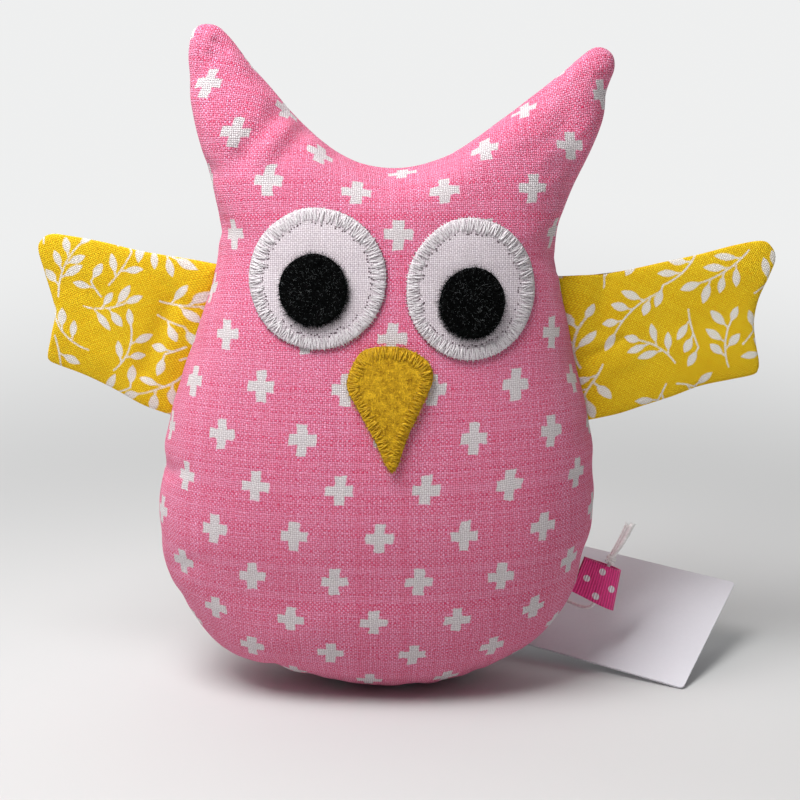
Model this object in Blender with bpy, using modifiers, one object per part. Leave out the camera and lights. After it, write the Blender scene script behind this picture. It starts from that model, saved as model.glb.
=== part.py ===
"""A stuffed cloth owl that stands on its own flattened base.

The owl faces -Y, +X is on the right of someone who looks at its face, and
+Z is up. Left and right below are the viewer's. The side seam lies in the
plane Y = 0. The origin is at the bottom centre.

The body is two cloth panels sewn round one mass of stuffing. Each wing is two
cloth faces round a sheet of wadding, hinged on its own sewn root. Eye whites,
pupils and beak are flat patches laid on the front panel. A ribbon loop is
sewn into the right side seam, and a string through it carries a blank card.
"""
import math

import bmesh
import bpy
from mathutils import Matrix, Vector

# Body
BODY_WIDTH = 0.1100
BODY_HEIGHT = 0.1632
FRONT_DEPTH = 0.0305
BACK_DEPTH = 0.0314
BODY_MIDDLE_X = -0.0077
BASE_FLAT = 0.0005
BODY_CLOTH = 0.0004
BODY_ROUND_RATIO = 2.3
BODY_RINGS = 7
RIB_STEPS = 2

# Gaps
SEAM_GAP = 0.0003
FIT = 0.0003
PATCH_FIT = 0.0004
MERGE_REACH = 0.00003

# Wings: the spine of a wing runs between two shares of its reach
LEFT_WING_REACH = 0.0414
RIGHT_WING_REACH = 0.0515
WING_CLOTH = 0.0004
WING_PUFF = 0.0014
WING_ROOT_GAP = 0.0009
WING_WADDING_EDGE = 0.0032
WING_SPINE_SHARES = (0.25, 0.75)
WING_ROUND_RATIO = 2
WING_RINGS = 3

# Eyes and beak: rings are the rows of faces from an outline to its middle
PATCH_ROUND_RATIO = 2
WHITE_POINTS = 28
WHITE_RINGS = 4
PUPIL_POINTS = 22
PUPIL_RINGS = 3
BEAK_RINGS = 3
EYE_CLOTH = 0.0005
PUPIL_FELT = 0.0012
BEAK_FELT = 0.0012
LEFT_WHITE_WIDTH = 0.0326
LEFT_WHITE_HEIGHT = 0.0325
LEFT_PUPIL_WIDTH = 0.0163
LEFT_PUPIL_HEIGHT = 0.0171
RIGHT_WHITE_WIDTH = 0.0304
RIGHT_WHITE_HEIGHT = 0.0328
RIGHT_PUPIL_WIDTH = 0.0155
RIGHT_PUPIL_HEIGHT = 0.0167
LEFT_PUPIL_DRIFT = 0.0007
LEFT_PUPIL_DROP = 0.0025
RIGHT_PUPIL_DRIFT = 0.0001
RIGHT_PUPIL_DROP = 0.0031
BEAK_WIDTH = 0.0195
BEAK_HEIGHT = 0.0284

# Ribbon loop
RIBBON_WIDTH = 0.0095
RIBBON_REACH = 0.0098
RIBBON_THICKNESS = 0.0004
RIBBON_OPENING = 0.0026
RIBBON_HEIGHT = 0.0270
RIBBON_ROOT_GAP = 0.0006

# String and card
STRING_DIAMETER = 0.0009
KNOT_DIAMETER = 0.0028
CARD_WIDTH = 0.0420
CARD_LENGTH = 0.0650
CARD_THICKNESS = 0.0005
CARD_CORNER_RADIUS = 0.0010
CARD_CORNER_STEPS = 3
CARD_HOLE_POINTS = 20
CARD_HOLE_DIAMETER = 0.0024
CARD_HOLE_INSET = 0.0065
CARD_HOLE_X = 0.0290
CARD_HOLE_Y = 0.0340
CARD_FLOOR_GAP = 0.0003
CARD_YAW_DEG = 30.0
CARD_PITCH_DEG = 5.0
CARD_ROLL_DEG = 24.0

# Middles of the eye whites and beak, as shares of half the body's width from
# its middle and of its height
LEFT_WHITE_SHARES = (-0.238, 0.640)
RIGHT_WHITE_SHARES = (0.405, 0.625)
BEAK_MIDDLE_SHARES = (0.068, 0.460)

# Where the ribs of the body end, as shares of half the body's width from its
# middle, of its height, and of its half depth
SPINE_SHARES = {
    "seat": (0.02, 0.185, 0.92),
    "belly": (0.00, 0.271, 1.00),
    "waist": (0.00, 0.350, 0.99),
    "chest": (0.01, 0.430, 0.95),
    "throat": (0.03, 0.522, 0.86),
    "brow": (0.06, 0.658, 0.72),
    "left_temple": (-0.19, 0.713, 0.61),
    "left_brow": (-0.41, 0.777, 0.46),
    "left_ear": (-0.60, 0.860, 0.31),
    "left_tip": (-0.70, 0.940, 0.175),
    "right_temple": (0.29, 0.704, 0.60),
    "right_brow": (0.52, 0.768, 0.45),
    "right_ear": (0.77, 0.845, 0.29),
    "right_tip": (0.93, 0.925, 0.165),
}

# Shares across and up of the four ends of the wing roots on the side seam
LEFT_ROOT_LOW_SHARES = (-0.938, 0.421)
LEFT_ROOT_HIGH_SHARES = (-0.715, 0.653)
RIGHT_ROOT_LOW_SHARES = (0.967, 0.413)
RIGHT_ROOT_HIGH_SHARES = (0.824, 0.635)

# The side seam, clockwise from the base as the viewer sees it: shares across
# and up, and the place on the spine that a rib from there runs to
SEAM_SHARES = (
    ((0.058, 0.000), "seat"),
    ((-0.130, 0.005), "seat"),
    ((-0.300, 0.017), "seat"),
    ((-0.478, 0.032), "seat"),
    ((-0.705, 0.059), "seat"),
    ((-0.853, 0.115), "seat"),
    ((-0.962, 0.181), "seat"),
    ((-1.000, 0.258), "belly"),
    ((-0.975, 0.340), "waist"),
    (LEFT_ROOT_LOW_SHARES, "chest"),
    ((-0.827, 0.537), "throat"),
    (LEFT_ROOT_HIGH_SHARES, "brow"),
    ((-0.691, 0.717), "left_temple"),
    ((-0.733, 0.790), "left_brow"),
    ((-0.780, 0.867), "left_ear"),
    ((-0.811, 0.937), "left_tip"),
    ((-0.787, 0.991), "left_tip"),
    ((-0.702, 1.000), "left_tip"),
    ((-0.627, 0.981), "left_tip"),
    ((-0.511, 0.929), "left_ear"),
    ((-0.362, 0.869), "left_brow"),
    ((-0.169, 0.816), "left_temple"),
    ((0.058, 0.791), "brow"),
    ((0.285, 0.808), "right_temple"),
    ((0.513, 0.851), "right_brow"),
    ((0.713, 0.899), "right_ear"),
    ((0.878, 0.950), "right_tip"),
    ((0.965, 0.968), "right_tip"),
    ((1.036, 0.953), "right_tip"),
    ((1.026, 0.908), "right_tip"),
    ((0.951, 0.836), "right_ear"),
    ((0.860, 0.760), "right_brow"),
    ((0.809, 0.689), "right_temple"),
    (RIGHT_ROOT_HIGH_SHARES, "brow"),
    ((0.893, 0.524), "throat"),
    (RIGHT_ROOT_LOW_SHARES, "chest"),
    ((1.000, 0.331), "waist"),
    ((0.980, 0.233), "belly"),
    ((0.904, 0.147), "seat"),
    ((0.758, 0.080), "seat"),
    ((0.531, 0.032), "seat"),
    ((0.330, 0.009), "seat"),
    ((0.200, 0.002), "seat"),
)

# Wing outlines from the low end of the root, as shares of the wing's reach
# and of its root's length
LEFT_WING_SHARES = (
    (0.00, 0.00), (0.16, 0.01), (0.34, 0.05), (0.53, 0.08), (0.70, 0.09),
    (0.76, 0.10), (0.78, 0.14), (0.79, 0.27), (0.81, 0.42), (0.92, 0.61),
    (1.00, 0.75), (0.99, 0.82), (0.95, 0.86), (0.87, 0.88), (0.66, 0.91),
    (0.42, 0.93), (0.16, 0.97), (0.00, 1.00),
)
RIGHT_WING_SHARES = (
    (0.00, 0.00), (0.13, 0.00), (0.26, 0.02), (0.40, 0.04), (0.54, 0.07),
    (0.68, 0.07), (0.80, 0.07), (0.83, 0.10), (0.84, 0.16), (0.84, 0.29),
    (0.85, 0.43), (0.89, 0.57), (0.96, 0.71), (1.00, 0.81), (0.99, 0.89),
    (0.95, 0.94), (0.83, 0.95), (0.64, 0.94), (0.46, 0.94), (0.28, 0.94),
    (0.12, 0.96), (0.00, 1.00),
)

# Beak outline, as shares of half its width and of its height from its middle
BEAK_SHARES = (
    (-0.08, 0.50), (-0.60, 0.47), (-0.93, 0.36), (-0.98, 0.19), (-0.72, 0.00),
    (-0.36, -0.22), (-0.10, -0.43), (0.06, -0.50), (0.20, -0.42), (0.39, -0.22),
    (0.70, 0.00), (0.98, 0.22), (0.93, 0.37), (0.45, 0.47),
)

# One layer of the ribbon loop from the seam to the fold, as shares of its
# reach and of half its opening
RIBBON_SHARES = ((0.00, 0.28), (0.25, 0.45), (0.48, 0.84), (0.68, 1.00), (0.88, 0.80), (0.98, 0.38))

# The string's route, from its free tail through the ribbon loop to the card
STRING_ROUTE = (
    (0.0564, -0.0016, 0.0402), (0.0553, -0.0013, 0.0374), (0.0541, -0.0008, 0.0348),
    (0.0529, -0.0002, 0.0324), (0.0522, 0.0000, 0.0308), (0.0517, 0.0000, 0.0293),
    (0.0506, 0.0000, 0.0260), (0.0494, 0.0000, 0.0227), (0.0482, 0.0000, 0.0195),
    (0.0475, 0.0009, 0.0178), (0.0456, 0.0048, 0.0164), (0.0418, 0.0132, 0.0157),
    (0.0374, 0.0220, 0.0159), (0.0332, 0.0296, 0.0166), (0.0303, 0.0333, 0.0165),
    (0.0290, 0.0340, 0.0150), (0.0290, 0.0340, 0.0136), (0.0290, 0.0340, 0.0119),
    (0.0290, 0.0340, 0.0106),
)
TAIL_KNOT_INDEX = 4
CARD_KNOT_INDEX = 17


def clear_scene():
    """Remove every object that the file opens with."""
    for existing in list(bpy.data.objects):
        bpy.data.objects.remove(existing, do_unlink=True)


def make_material(name, colour, roughness):
    """Return a plain cloth, felt or card material."""
    material = bpy.data.materials.new(name)
    material.use_nodes = True
    shader = material.node_tree.nodes["Principled BSDF"]
    shader.inputs["Base Color"].default_value = (*colour, 1.0)
    shader.inputs["Roughness"].default_value = roughness
    shader.inputs["Metallic"].default_value = 0.0
    return material


def add_object(name, mesh, material, collection, parent=None):
    """Link a mesh as a named, smooth-shaded object."""
    mesh.shade_smooth()
    mesh.materials.append(material)
    owner = bpy.data.objects.new(name, mesh)
    collection.objects.link(owner)
    owner.parent = parent
    return owner


def add_solidify(owner, thickness, offset):
    """Give an open surface its cloth thickness."""
    solidify = owner.modifiers.new("Thickness", "SOLIDIFY")
    solidify.thickness = thickness
    solidify.offset = offset
    solidify.use_even_offset = True


def through_points(before, start, end, after, part):
    """Return one value of a Catmull-Rom curve between start and end."""
    slope_in = (end - before) / 2
    slope_out = (after - start) / 2
    bend = 3 * (end - start) - 2 * slope_in - slope_out
    twist = 2 * (start - end) + slope_in + slope_out
    return start + part * (slope_in + part * (bend + part * twist))


def smooth_rows(rows, steps, closed):
    """Sample a smooth curve through rows of numbers, a few steps to a row."""
    count = len(rows)
    spans = count if closed else count - 1
    samples = []
    for index in range(spans):
        if closed:
            picked = [rows[place % count] for place in range(index - 1, index + 3)]
        else:
            picked = [rows[min(max(place, 0), count - 1)] for place in range(index - 1, index + 3)]
        for step in range(steps):
            samples.append([through_points(*values, step / steps) for values in zip(*picked)])
    if not closed:
        samples.append(list(rows[-1]))
    return samples


def pillow_mesh(name, ribs, rings, roundness, side, lift):
    """Loft one face of a pillow from its edge to its spine.

    Each rib holds the edge point, the spine point and the depth there. The
    face stands on the given side of the plane Y = 0, lifted off it, and stays
    open along its edge. The last ring stops half a step short of the spine,
    and the narrow strip that is left there is filled flat.
    """
    mesh = bpy.data.meshes.new(name)
    soft = bmesh.new()
    loops = []
    for ring in range(rings):
        angle = ring / (rings - 1 / 2) * math.pi / 2
        reach = 1 - math.cos(angle) ** (2 / roundness)
        rise = math.sin(angle) ** (2 / roundness)
        loop = []
        for edge_x, edge_z, spine_x, spine_z, depth in ribs:
            x = edge_x + (spine_x - edge_x) * reach
            z = edge_z + (spine_z - edge_z) * reach
            loop.append(soft.verts.new((x, side * (lift + depth * rise), z)))
        loops.append(loop)
    count = len(ribs)
    for outer, inner in zip(loops, loops[1:]):
        for index in range(count):
            after = (index + 1) % count
            soft.faces.new((outer[index], outer[after], inner[after], inner[index]))
    last = loops[-1]
    spine_edges = [soft.edges.get((last[index], last[(index + 1) % count])) for index in range(count)]
    bmesh.ops.triangle_fill(soft, use_beauty=True, edges=spine_edges)
    bmesh.ops.recalc_face_normals(soft, faces=soft.faces)
    if sum(face.normal.y * face.calc_area() for face in soft.faces) * side < 0:
        bmesh.ops.reverse_faces(soft, faces=soft.faces)
    soft.to_mesh(mesh)
    soft.free()
    return mesh


def seam_place(shares):
    """Return the X and Z of a place given as shares of the body's sizes."""
    across, up = shares
    return BODY_MIDDLE_X + across * BODY_WIDTH / 2, up * BODY_HEIGHT - BASE_FLAT


def body_ribs(half_depth):
    """Return the body's ribs, a few to each point of the side seam."""
    rows = []
    for shares, station in SEAM_SHARES:
        across, up, depth_share = SPINE_SHARES[station]
        rows.append((*seam_place(shares), *seam_place((across, up)), depth_share * half_depth))
    return smooth_rows(rows, RIB_STEPS, True)


def press_base(mesh):
    """Press the underside flat on the floor, along a clean edge."""
    soft = bmesh.new()
    soft.from_mesh(mesh)
    everything = soft.verts[:] + soft.edges[:] + soft.faces[:]
    bmesh.ops.bisect_plane(soft, geom=everything, dist=MERGE_REACH, plane_co=(0, 0, 0), plane_no=(0, 0, 1))
    for vertex in soft.verts:
        vertex.co.z = max(vertex.co.z, 0)
    soft.to_mesh(mesh)
    soft.free()


def make_body(collection, cloth, fill):
    """Make the front and back panels and the stuffing inside them."""
    halves = []
    for name, side, depth in (("front_panel", -1, FRONT_DEPTH), ("back_panel", 1, BACK_DEPTH)):
        mesh = pillow_mesh(name, body_ribs(depth), BODY_RINGS, BODY_ROUND_RATIO, side, SEAM_GAP / 2)
        press_base(mesh)
        add_solidify(add_object(name, mesh, cloth, collection), BODY_CLOTH, -1)
        mesh = pillow_mesh("stuffing_half", body_ribs(depth), BODY_RINGS, BODY_ROUND_RATIO, side, 0)
        press_base(mesh)
        halves.append(mesh)
    whole = bmesh.new()
    for half in halves:
        whole.from_mesh(half)
        bpy.data.meshes.remove(half)
    bmesh.ops.remove_doubles(whole, verts=whole.verts, dist=MERGE_REACH)
    mesh = bpy.data.meshes.new("stuffing")
    whole.to_mesh(mesh)
    whole.free()
    stuffing = add_object("stuffing", mesh, fill, collection)
    shrink = stuffing.modifiers.new("Inside the cloth", "DISPLACE")
    shrink.mid_level = 0
    shrink.strength = -(BODY_CLOTH + FIT)


def make_wing_hinge(name, low_shares, high_shares, outward, collection):
    """Place an empty on the wing's hinge: X points out and Z up the root."""
    low_x, low_z = seam_place(low_shares)
    high_x, high_z = seam_place(high_shares)
    up = Vector((high_x - low_x, 0, high_z - low_z))
    length = up.length
    up.normalize()
    out = Vector((up.z, 0, -up.x)) * outward
    turn = Matrix((out, up.cross(out), up)).transposed()
    hinge = bpy.data.objects.new(name, None)
    hinge.location = Vector((low_x, 0, low_z)) + out * WING_ROOT_GAP
    hinge.rotation_euler = turn.to_euler()
    hinge.empty_display_size = length / 4
    collection.objects.link(hinge)
    return hinge, length


def wing_ribs(shares, reach, root_length, inset, depth):
    """Return a wing's ribs, drawn in from its edge by an inset."""
    points = [(out * reach, up * root_length) for out, up in shares]
    spine_start, spine_end = WING_SPINE_SHARES
    spine_z = root_length / 2
    rows = []
    for out, up in points:
        spine_x = min(max(out, spine_start * reach), spine_end * reach)
        run = math.hypot(spine_x - out, spine_z - up)
        drawn = inset / run
        rows.append((out + (spine_x - out) * drawn, up + (spine_z - up) * drawn, spine_x, spine_z, depth))
    return rows


def make_wing(side_name, shares, reach, low_shares, high_shares, outward, collection, cloth, fill):
    """Make one wing: two cloth faces and the wadding between them."""
    hinge, root_length = make_wing_hinge(
        side_name + "_hinge", low_shares, high_shares, outward, collection)
    for face_name, facing in (("front", -outward), ("back", outward)):
        name = side_name + "_" + face_name
        ribs = wing_ribs(shares, reach, root_length, 0, WING_PUFF)
        mesh = pillow_mesh(name, ribs, WING_RINGS, WING_ROUND_RATIO, facing, FIT / 2 + WING_CLOTH)
        add_solidify(add_object(name, mesh, cloth, collection, hinge), WING_CLOTH, -1)
    name = side_name + "_wadding"
    ribs = wing_ribs(shares, reach, root_length, WING_WADDING_EDGE, WING_PUFF - FIT)
    mesh = pillow_mesh(name, ribs, WING_RINGS, WING_ROUND_RATIO, -1, 0)
    wadding = add_object(name, mesh, fill, collection, hinge)
    mirror = wadding.modifiers.new("Back half", "MIRROR")
    mirror.use_axis = (False, True, False)
    mirror.merge_threshold = MERGE_REACH


def lay_patch(name, points, rings, place, under, thickness, material, collection):
    """Lay a flat patch on the piece under it, a fit above its surface."""
    rows = [(x, z, 0, 0, 0) for x, z in points]
    mesh = pillow_mesh(name, rows, rings, PATCH_ROUND_RATIO, -1, 0)
    patch = add_object(name, mesh, material, collection)
    patch.location = (place[0], -2 * FRONT_DEPTH, place[1])
    wrap = patch.modifiers.new("Lie on the cloth", "SHRINKWRAP")
    wrap.target = under
    wrap.wrap_method = "PROJECT"
    wrap.wrap_mode = "ABOVE_SURFACE"
    wrap.use_project_y = True
    wrap.use_negative_direction = False
    wrap.use_positive_direction = True
    wrap.offset = PATCH_FIT
    add_solidify(patch, thickness, 1)
    return patch


def ellipse_points(width, height, count):
    """Return the points of an ellipse about the origin."""
    turns = [2 * math.pi * index / count for index in range(count)]
    return [(math.cos(turn) * width / 2, math.sin(turn) * height / 2) for turn in turns]


def make_eye(side_name, shares, white_size, pupil_size, drift, drop, white, felt, collection):
    """Lay one eye white on the front panel and its pupil on the white."""
    x, z = seam_place(shares)
    eye_white = lay_patch(
        side_name + "_eye_white", ellipse_points(*white_size, WHITE_POINTS), WHITE_RINGS, (x, z),
        bpy.data.objects["front_panel"], EYE_CLOTH, white, collection)
    lay_patch(
        side_name + "_pupil", ellipse_points(*pupil_size, PUPIL_POINTS), PUPIL_RINGS,
        (x + drift, z - drop), eye_white, PUPIL_FELT, felt, collection)


def make_beak(collection, felt):
    """Lay the beak on the front panel."""
    corners = [(across * BEAK_WIDTH / 2, up * BEAK_HEIGHT) for across, up in BEAK_SHARES]
    lay_patch(
        "beak", smooth_rows(corners, 2, True), BEAK_RINGS, seam_place(BEAK_MIDDLE_SHARES),
        bpy.data.objects["front_panel"], BEAK_FELT, felt, collection)


def right_seam_x(height):
    """Return the X of the side seam on the right of the belly at a height."""
    ribs = body_ribs(FRONT_DEPTH)
    for upper, lower in zip(ribs, ribs[1:]):
        if upper[0] > BODY_MIDDLE_X and upper[1] >= height > lower[1] and height < BODY_HEIGHT / 2:
            part = (upper[1] - height) / (upper[1] - lower[1])
            return upper[0] + (lower[0] - upper[0]) * part
    return BODY_MIDDLE_X + BODY_WIDTH / 2


def make_ribbon(collection, satin):
    """Fold a ribbon into a loop that stands out of the right side seam."""
    low = Vector((right_seam_x(RIBBON_HEIGHT - RIBBON_WIDTH / 2), 0, RIBBON_HEIGHT - RIBBON_WIDTH / 2))
    high = Vector((right_seam_x(RIBBON_HEIGHT + RIBBON_WIDTH / 2), 0, RIBBON_HEIGHT + RIBBON_WIDTH / 2))
    up = (high - low).normalized()
    out = Vector((up.z, 0, -up.x))
    layer = [(along * RIBBON_REACH, aside * RIBBON_OPENING / 2) for along, aside in RIBBON_SHARES]
    fold = [(RIBBON_REACH, 0)]
    path = smooth_rows(layer + fold + [(x, -y) for x, y in reversed(layer)], 2, False)
    mesh = bpy.data.meshes.new("ribbon_loop")
    strip = bmesh.new()
    edges = []
    for height in (-RIBBON_WIDTH / 2, RIBBON_WIDTH / 2):
        edges.append([strip.verts.new((x, y, height)) for x, y in path])
    for index in range(len(path) - 1):
        lower, upper = edges
        strip.faces.new((lower[index], lower[index + 1], upper[index + 1], upper[index]))
    strip.to_mesh(mesh)
    strip.free()
    ribbon = add_object("ribbon_loop", mesh, satin, collection)
    ribbon.location = (low + high) / 2 + out * RIBBON_ROOT_GAP
    ribbon.rotation_euler = Matrix((out, up.cross(out), up)).transposed().to_euler()
    add_solidify(ribbon, RIBBON_THICKNESS, 0)


def make_string(collection, cotton):
    """Run the string from its tail through the loop to the card's knot."""
    swell = KNOT_DIAMETER / STRING_DIAMETER
    rows = []
    for index, point in enumerate(STRING_ROUTE):
        width = swell if index in (TAIL_KNOT_INDEX, CARD_KNOT_INDEX) else 1
        rows.append((*point, width))
    samples = smooth_rows(rows, 3, False)
    curve = bpy.data.curves.new("tag_string", "CURVE")
    curve.dimensions = "3D"
    curve.bevel_depth = STRING_DIAMETER / 2
    curve.bevel_resolution = 2
    curve.use_fill_caps = True
    line = curve.splines.new("POLY")
    line.points.add(len(samples) - 1)
    for point, (x, y, z, width) in zip(line.points, samples):
        point.co = (x, y, z, 1)
        point.radius = width
    curve.materials.append(cotton)
    string = bpy.data.objects.new("tag_string", curve)
    collection.objects.link(string)


def card_axes():
    """Return the card's long, cross and upward directions."""
    turn = Matrix.Rotation(math.radians(-CARD_YAW_DEG), 3, "Z")
    turn = turn @ Matrix.Rotation(math.radians(CARD_PITCH_DEG), 3, "Y")
    return turn @ Matrix.Rotation(math.radians(CARD_ROLL_DEG), 3, "X")


def add_spline(curve, points):
    """Add a closed straight-sided outline to a flat curve."""
    line = curve.splines.new("POLY")
    line.points.add(len(points) - 1)
    for point, (x, y) in zip(line.points, points):
        point.co = (x, y, 0, 1)
    line.use_cyclic_u = True


def make_card(collection, paper):
    """Make the blank card, hung by its punched hole on the string."""
    near = -CARD_HOLE_INSET
    far = CARD_LENGTH - CARD_HOLE_INSET
    side = CARD_WIDTH / 2
    corners = []
    quarter = math.pi / 2
    for x, y, turns in ((far, side, 0), (near, side, 1), (near, -side, 2), (far, -side, 3)):
        centre_x = x - math.copysign(CARD_CORNER_RADIUS, x)
        centre_y = y - math.copysign(CARD_CORNER_RADIUS, y)
        for step in range(CARD_CORNER_STEPS + 1):
            turn = quarter * (turns + step / CARD_CORNER_STEPS)
            corners.append((centre_x + math.cos(turn) * CARD_CORNER_RADIUS,
                            centre_y + math.sin(turn) * CARD_CORNER_RADIUS))
    curve = bpy.data.curves.new("swing_card", "CURVE")
    curve.dimensions = "2D"
    curve.fill_mode = "BOTH"
    curve.extrude = CARD_THICKNESS / 2
    add_spline(curve, corners)
    add_spline(curve, ellipse_points(CARD_HOLE_DIAMETER, CARD_HOLE_DIAMETER, CARD_HOLE_POINTS))
    curve.materials.append(paper)
    card = bpy.data.objects.new("swing_card", curve)
    turn = card_axes()
    lowest = min((turn @ Vector((x, y, -CARD_THICKNESS / 2))).z for x, y in corners)
    card.location = (CARD_HOLE_X, CARD_HOLE_Y, CARD_FLOOR_GAP - lowest)
    card.rotation_euler = turn.to_euler()
    collection.objects.link(card)


def main():
    """Build the owl."""
    clear_scene()
    owl = bpy.data.collections.new("plush_owl")
    bpy.context.scene.collection.children.link(owl)
    pink_cotton = make_material("pink_cotton", (0.72, 0.13, 0.30), 0.9)
    yellow_cotton = make_material("yellow_cotton", (0.85, 0.50, 0.02), 0.9)
    white_cotton = make_material("white_cotton", (0.75, 0.70, 0.70), 0.9)
    black_felt = make_material("black_felt", (0.01, 0.01, 0.01), 1.0)
    mustard_felt = make_material("mustard_felt", (0.60, 0.33, 0.01), 1.0)
    fibrefill = make_material("fibrefill", (0.85, 0.85, 0.83), 1.0)
    pink_ribbon = make_material("pink_ribbon", (0.70, 0.02, 0.12), 0.6)
    white_string = make_material("white_string", (0.80, 0.78, 0.76), 0.9)
    white_paper = make_material("white_paper", (0.82, 0.82, 0.84), 0.6)
    make_body(owl, pink_cotton, fibrefill)
    make_wing("left_wing", LEFT_WING_SHARES, LEFT_WING_REACH, LEFT_ROOT_LOW_SHARES,
              LEFT_ROOT_HIGH_SHARES, -1, owl, yellow_cotton, fibrefill)
    make_wing("right_wing", RIGHT_WING_SHARES, RIGHT_WING_REACH, RIGHT_ROOT_LOW_SHARES,
              RIGHT_ROOT_HIGH_SHARES, 1, owl, yellow_cotton, fibrefill)
    make_eye("left", LEFT_WHITE_SHARES, (LEFT_WHITE_WIDTH, LEFT_WHITE_HEIGHT),
             (LEFT_PUPIL_WIDTH, LEFT_PUPIL_HEIGHT), -LEFT_PUPIL_DRIFT, LEFT_PUPIL_DROP,
             white_cotton, black_felt, owl)
    make_eye("right", RIGHT_WHITE_SHARES, (RIGHT_WHITE_WIDTH, RIGHT_WHITE_HEIGHT),
             (RIGHT_PUPIL_WIDTH, RIGHT_PUPIL_HEIGHT), RIGHT_PUPIL_DRIFT, RIGHT_PUPIL_DROP,
             white_cotton, black_felt, owl)
    make_beak(owl, mustard_felt)
    make_ribbon(owl, pink_ribbon)
    make_string(owl, white_string)
    make_card(owl, white_paper)


main()
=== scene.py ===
"""The cloth owl, dressed over its solid parts.

Units are metres. The owl faces -Y and stands on Z = 0, and left and right are
the viewer's. The body is laid out as two flat-cut panels, sewn and stuffed.
Wings, eyes, beak, stitches, ribbon and string are made over the solids, and
the swing card keeps its solid.
"""

import math
import random

import bmesh
import bpy
import numpy as np
from mathutils import Matrix, Vector, noise
from mathutils.bvhtree import BVHTree


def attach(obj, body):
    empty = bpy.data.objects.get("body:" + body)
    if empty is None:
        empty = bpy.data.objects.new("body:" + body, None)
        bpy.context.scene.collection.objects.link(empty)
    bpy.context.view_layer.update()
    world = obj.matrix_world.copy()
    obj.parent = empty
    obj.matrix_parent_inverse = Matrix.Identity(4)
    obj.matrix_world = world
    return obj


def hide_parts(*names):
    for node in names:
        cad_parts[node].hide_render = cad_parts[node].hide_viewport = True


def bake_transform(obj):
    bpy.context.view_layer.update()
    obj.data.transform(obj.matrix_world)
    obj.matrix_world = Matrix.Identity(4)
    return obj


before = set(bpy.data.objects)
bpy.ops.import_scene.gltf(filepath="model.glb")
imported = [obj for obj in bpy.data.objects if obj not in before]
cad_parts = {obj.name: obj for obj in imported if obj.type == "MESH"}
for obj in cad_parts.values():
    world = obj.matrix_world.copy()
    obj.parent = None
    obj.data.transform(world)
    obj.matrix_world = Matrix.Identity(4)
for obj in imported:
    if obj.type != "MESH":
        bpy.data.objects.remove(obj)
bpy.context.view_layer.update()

# Camera
CAMERA_PLACE = (-0.00175, -0.32500, 0.12924)
CAMERA_AIM = (-0.00175, 0.0, 0.07194)
CAMERA_LENS_MM = 59.4
CAMERA_SENSOR_MM = 36.0
CAMERA_NEAR = 0.01

# Body
BODY_WIDTH = 0.1100
BODY_HEIGHT = 0.1632
FRONT_DEPTH = 0.0305
BACK_DEPTH = 0.0314
BODY_MIDDLE_X = -0.0077
BASE_FLAT = 0.0005
BODY_ROUND_RATIO = 2.3
BODY_RINGS = 26
RIB_STEPS = 8
CLOTH_THICKNESS = 0.0004
MERGE_REACH = 0.00003
BAKE_MARGIN = 0.01
STUFFING_INSET = 0.0012
SPINE_SOFT_START = 0.45
SPINE_SOFT_END = 0.80
SPINE_SOFT_ROUNDS = 40

# Where the ribs of the body end, as shares of half the body's width from its
# middle, of its height, and of its half depth
SPINE_SHARES = {
    "seat": (0.02, 0.185, 0.92),
    "belly": (0.00, 0.271, 1.00),
    "waist": (0.00, 0.350, 0.99),
    "chest": (0.01, 0.430, 0.95),
    "throat": (0.03, 0.522, 0.86),
    "brow": (0.06, 0.658, 0.72),
    "left_temple": (-0.19, 0.713, 0.61),
    "left_brow": (-0.41, 0.777, 0.46),
    "left_ear": (-0.60, 0.860, 0.31),
    "left_tip": (-0.70, 0.940, 0.175),
    "right_temple": (0.29, 0.704, 0.60),
    "right_brow": (0.52, 0.768, 0.45),
    "right_ear": (0.77, 0.845, 0.29),
    "right_tip": (0.93, 0.925, 0.165),
}

# Shares across and up of the four ends of the wing roots on the side seam
LEFT_ROOT_LOW_SHARES = (-0.938, 0.421)
LEFT_ROOT_HIGH_SHARES = (-0.715, 0.653)
RIGHT_ROOT_LOW_SHARES = (0.967, 0.413)
RIGHT_ROOT_HIGH_SHARES = (0.824, 0.635)

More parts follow.
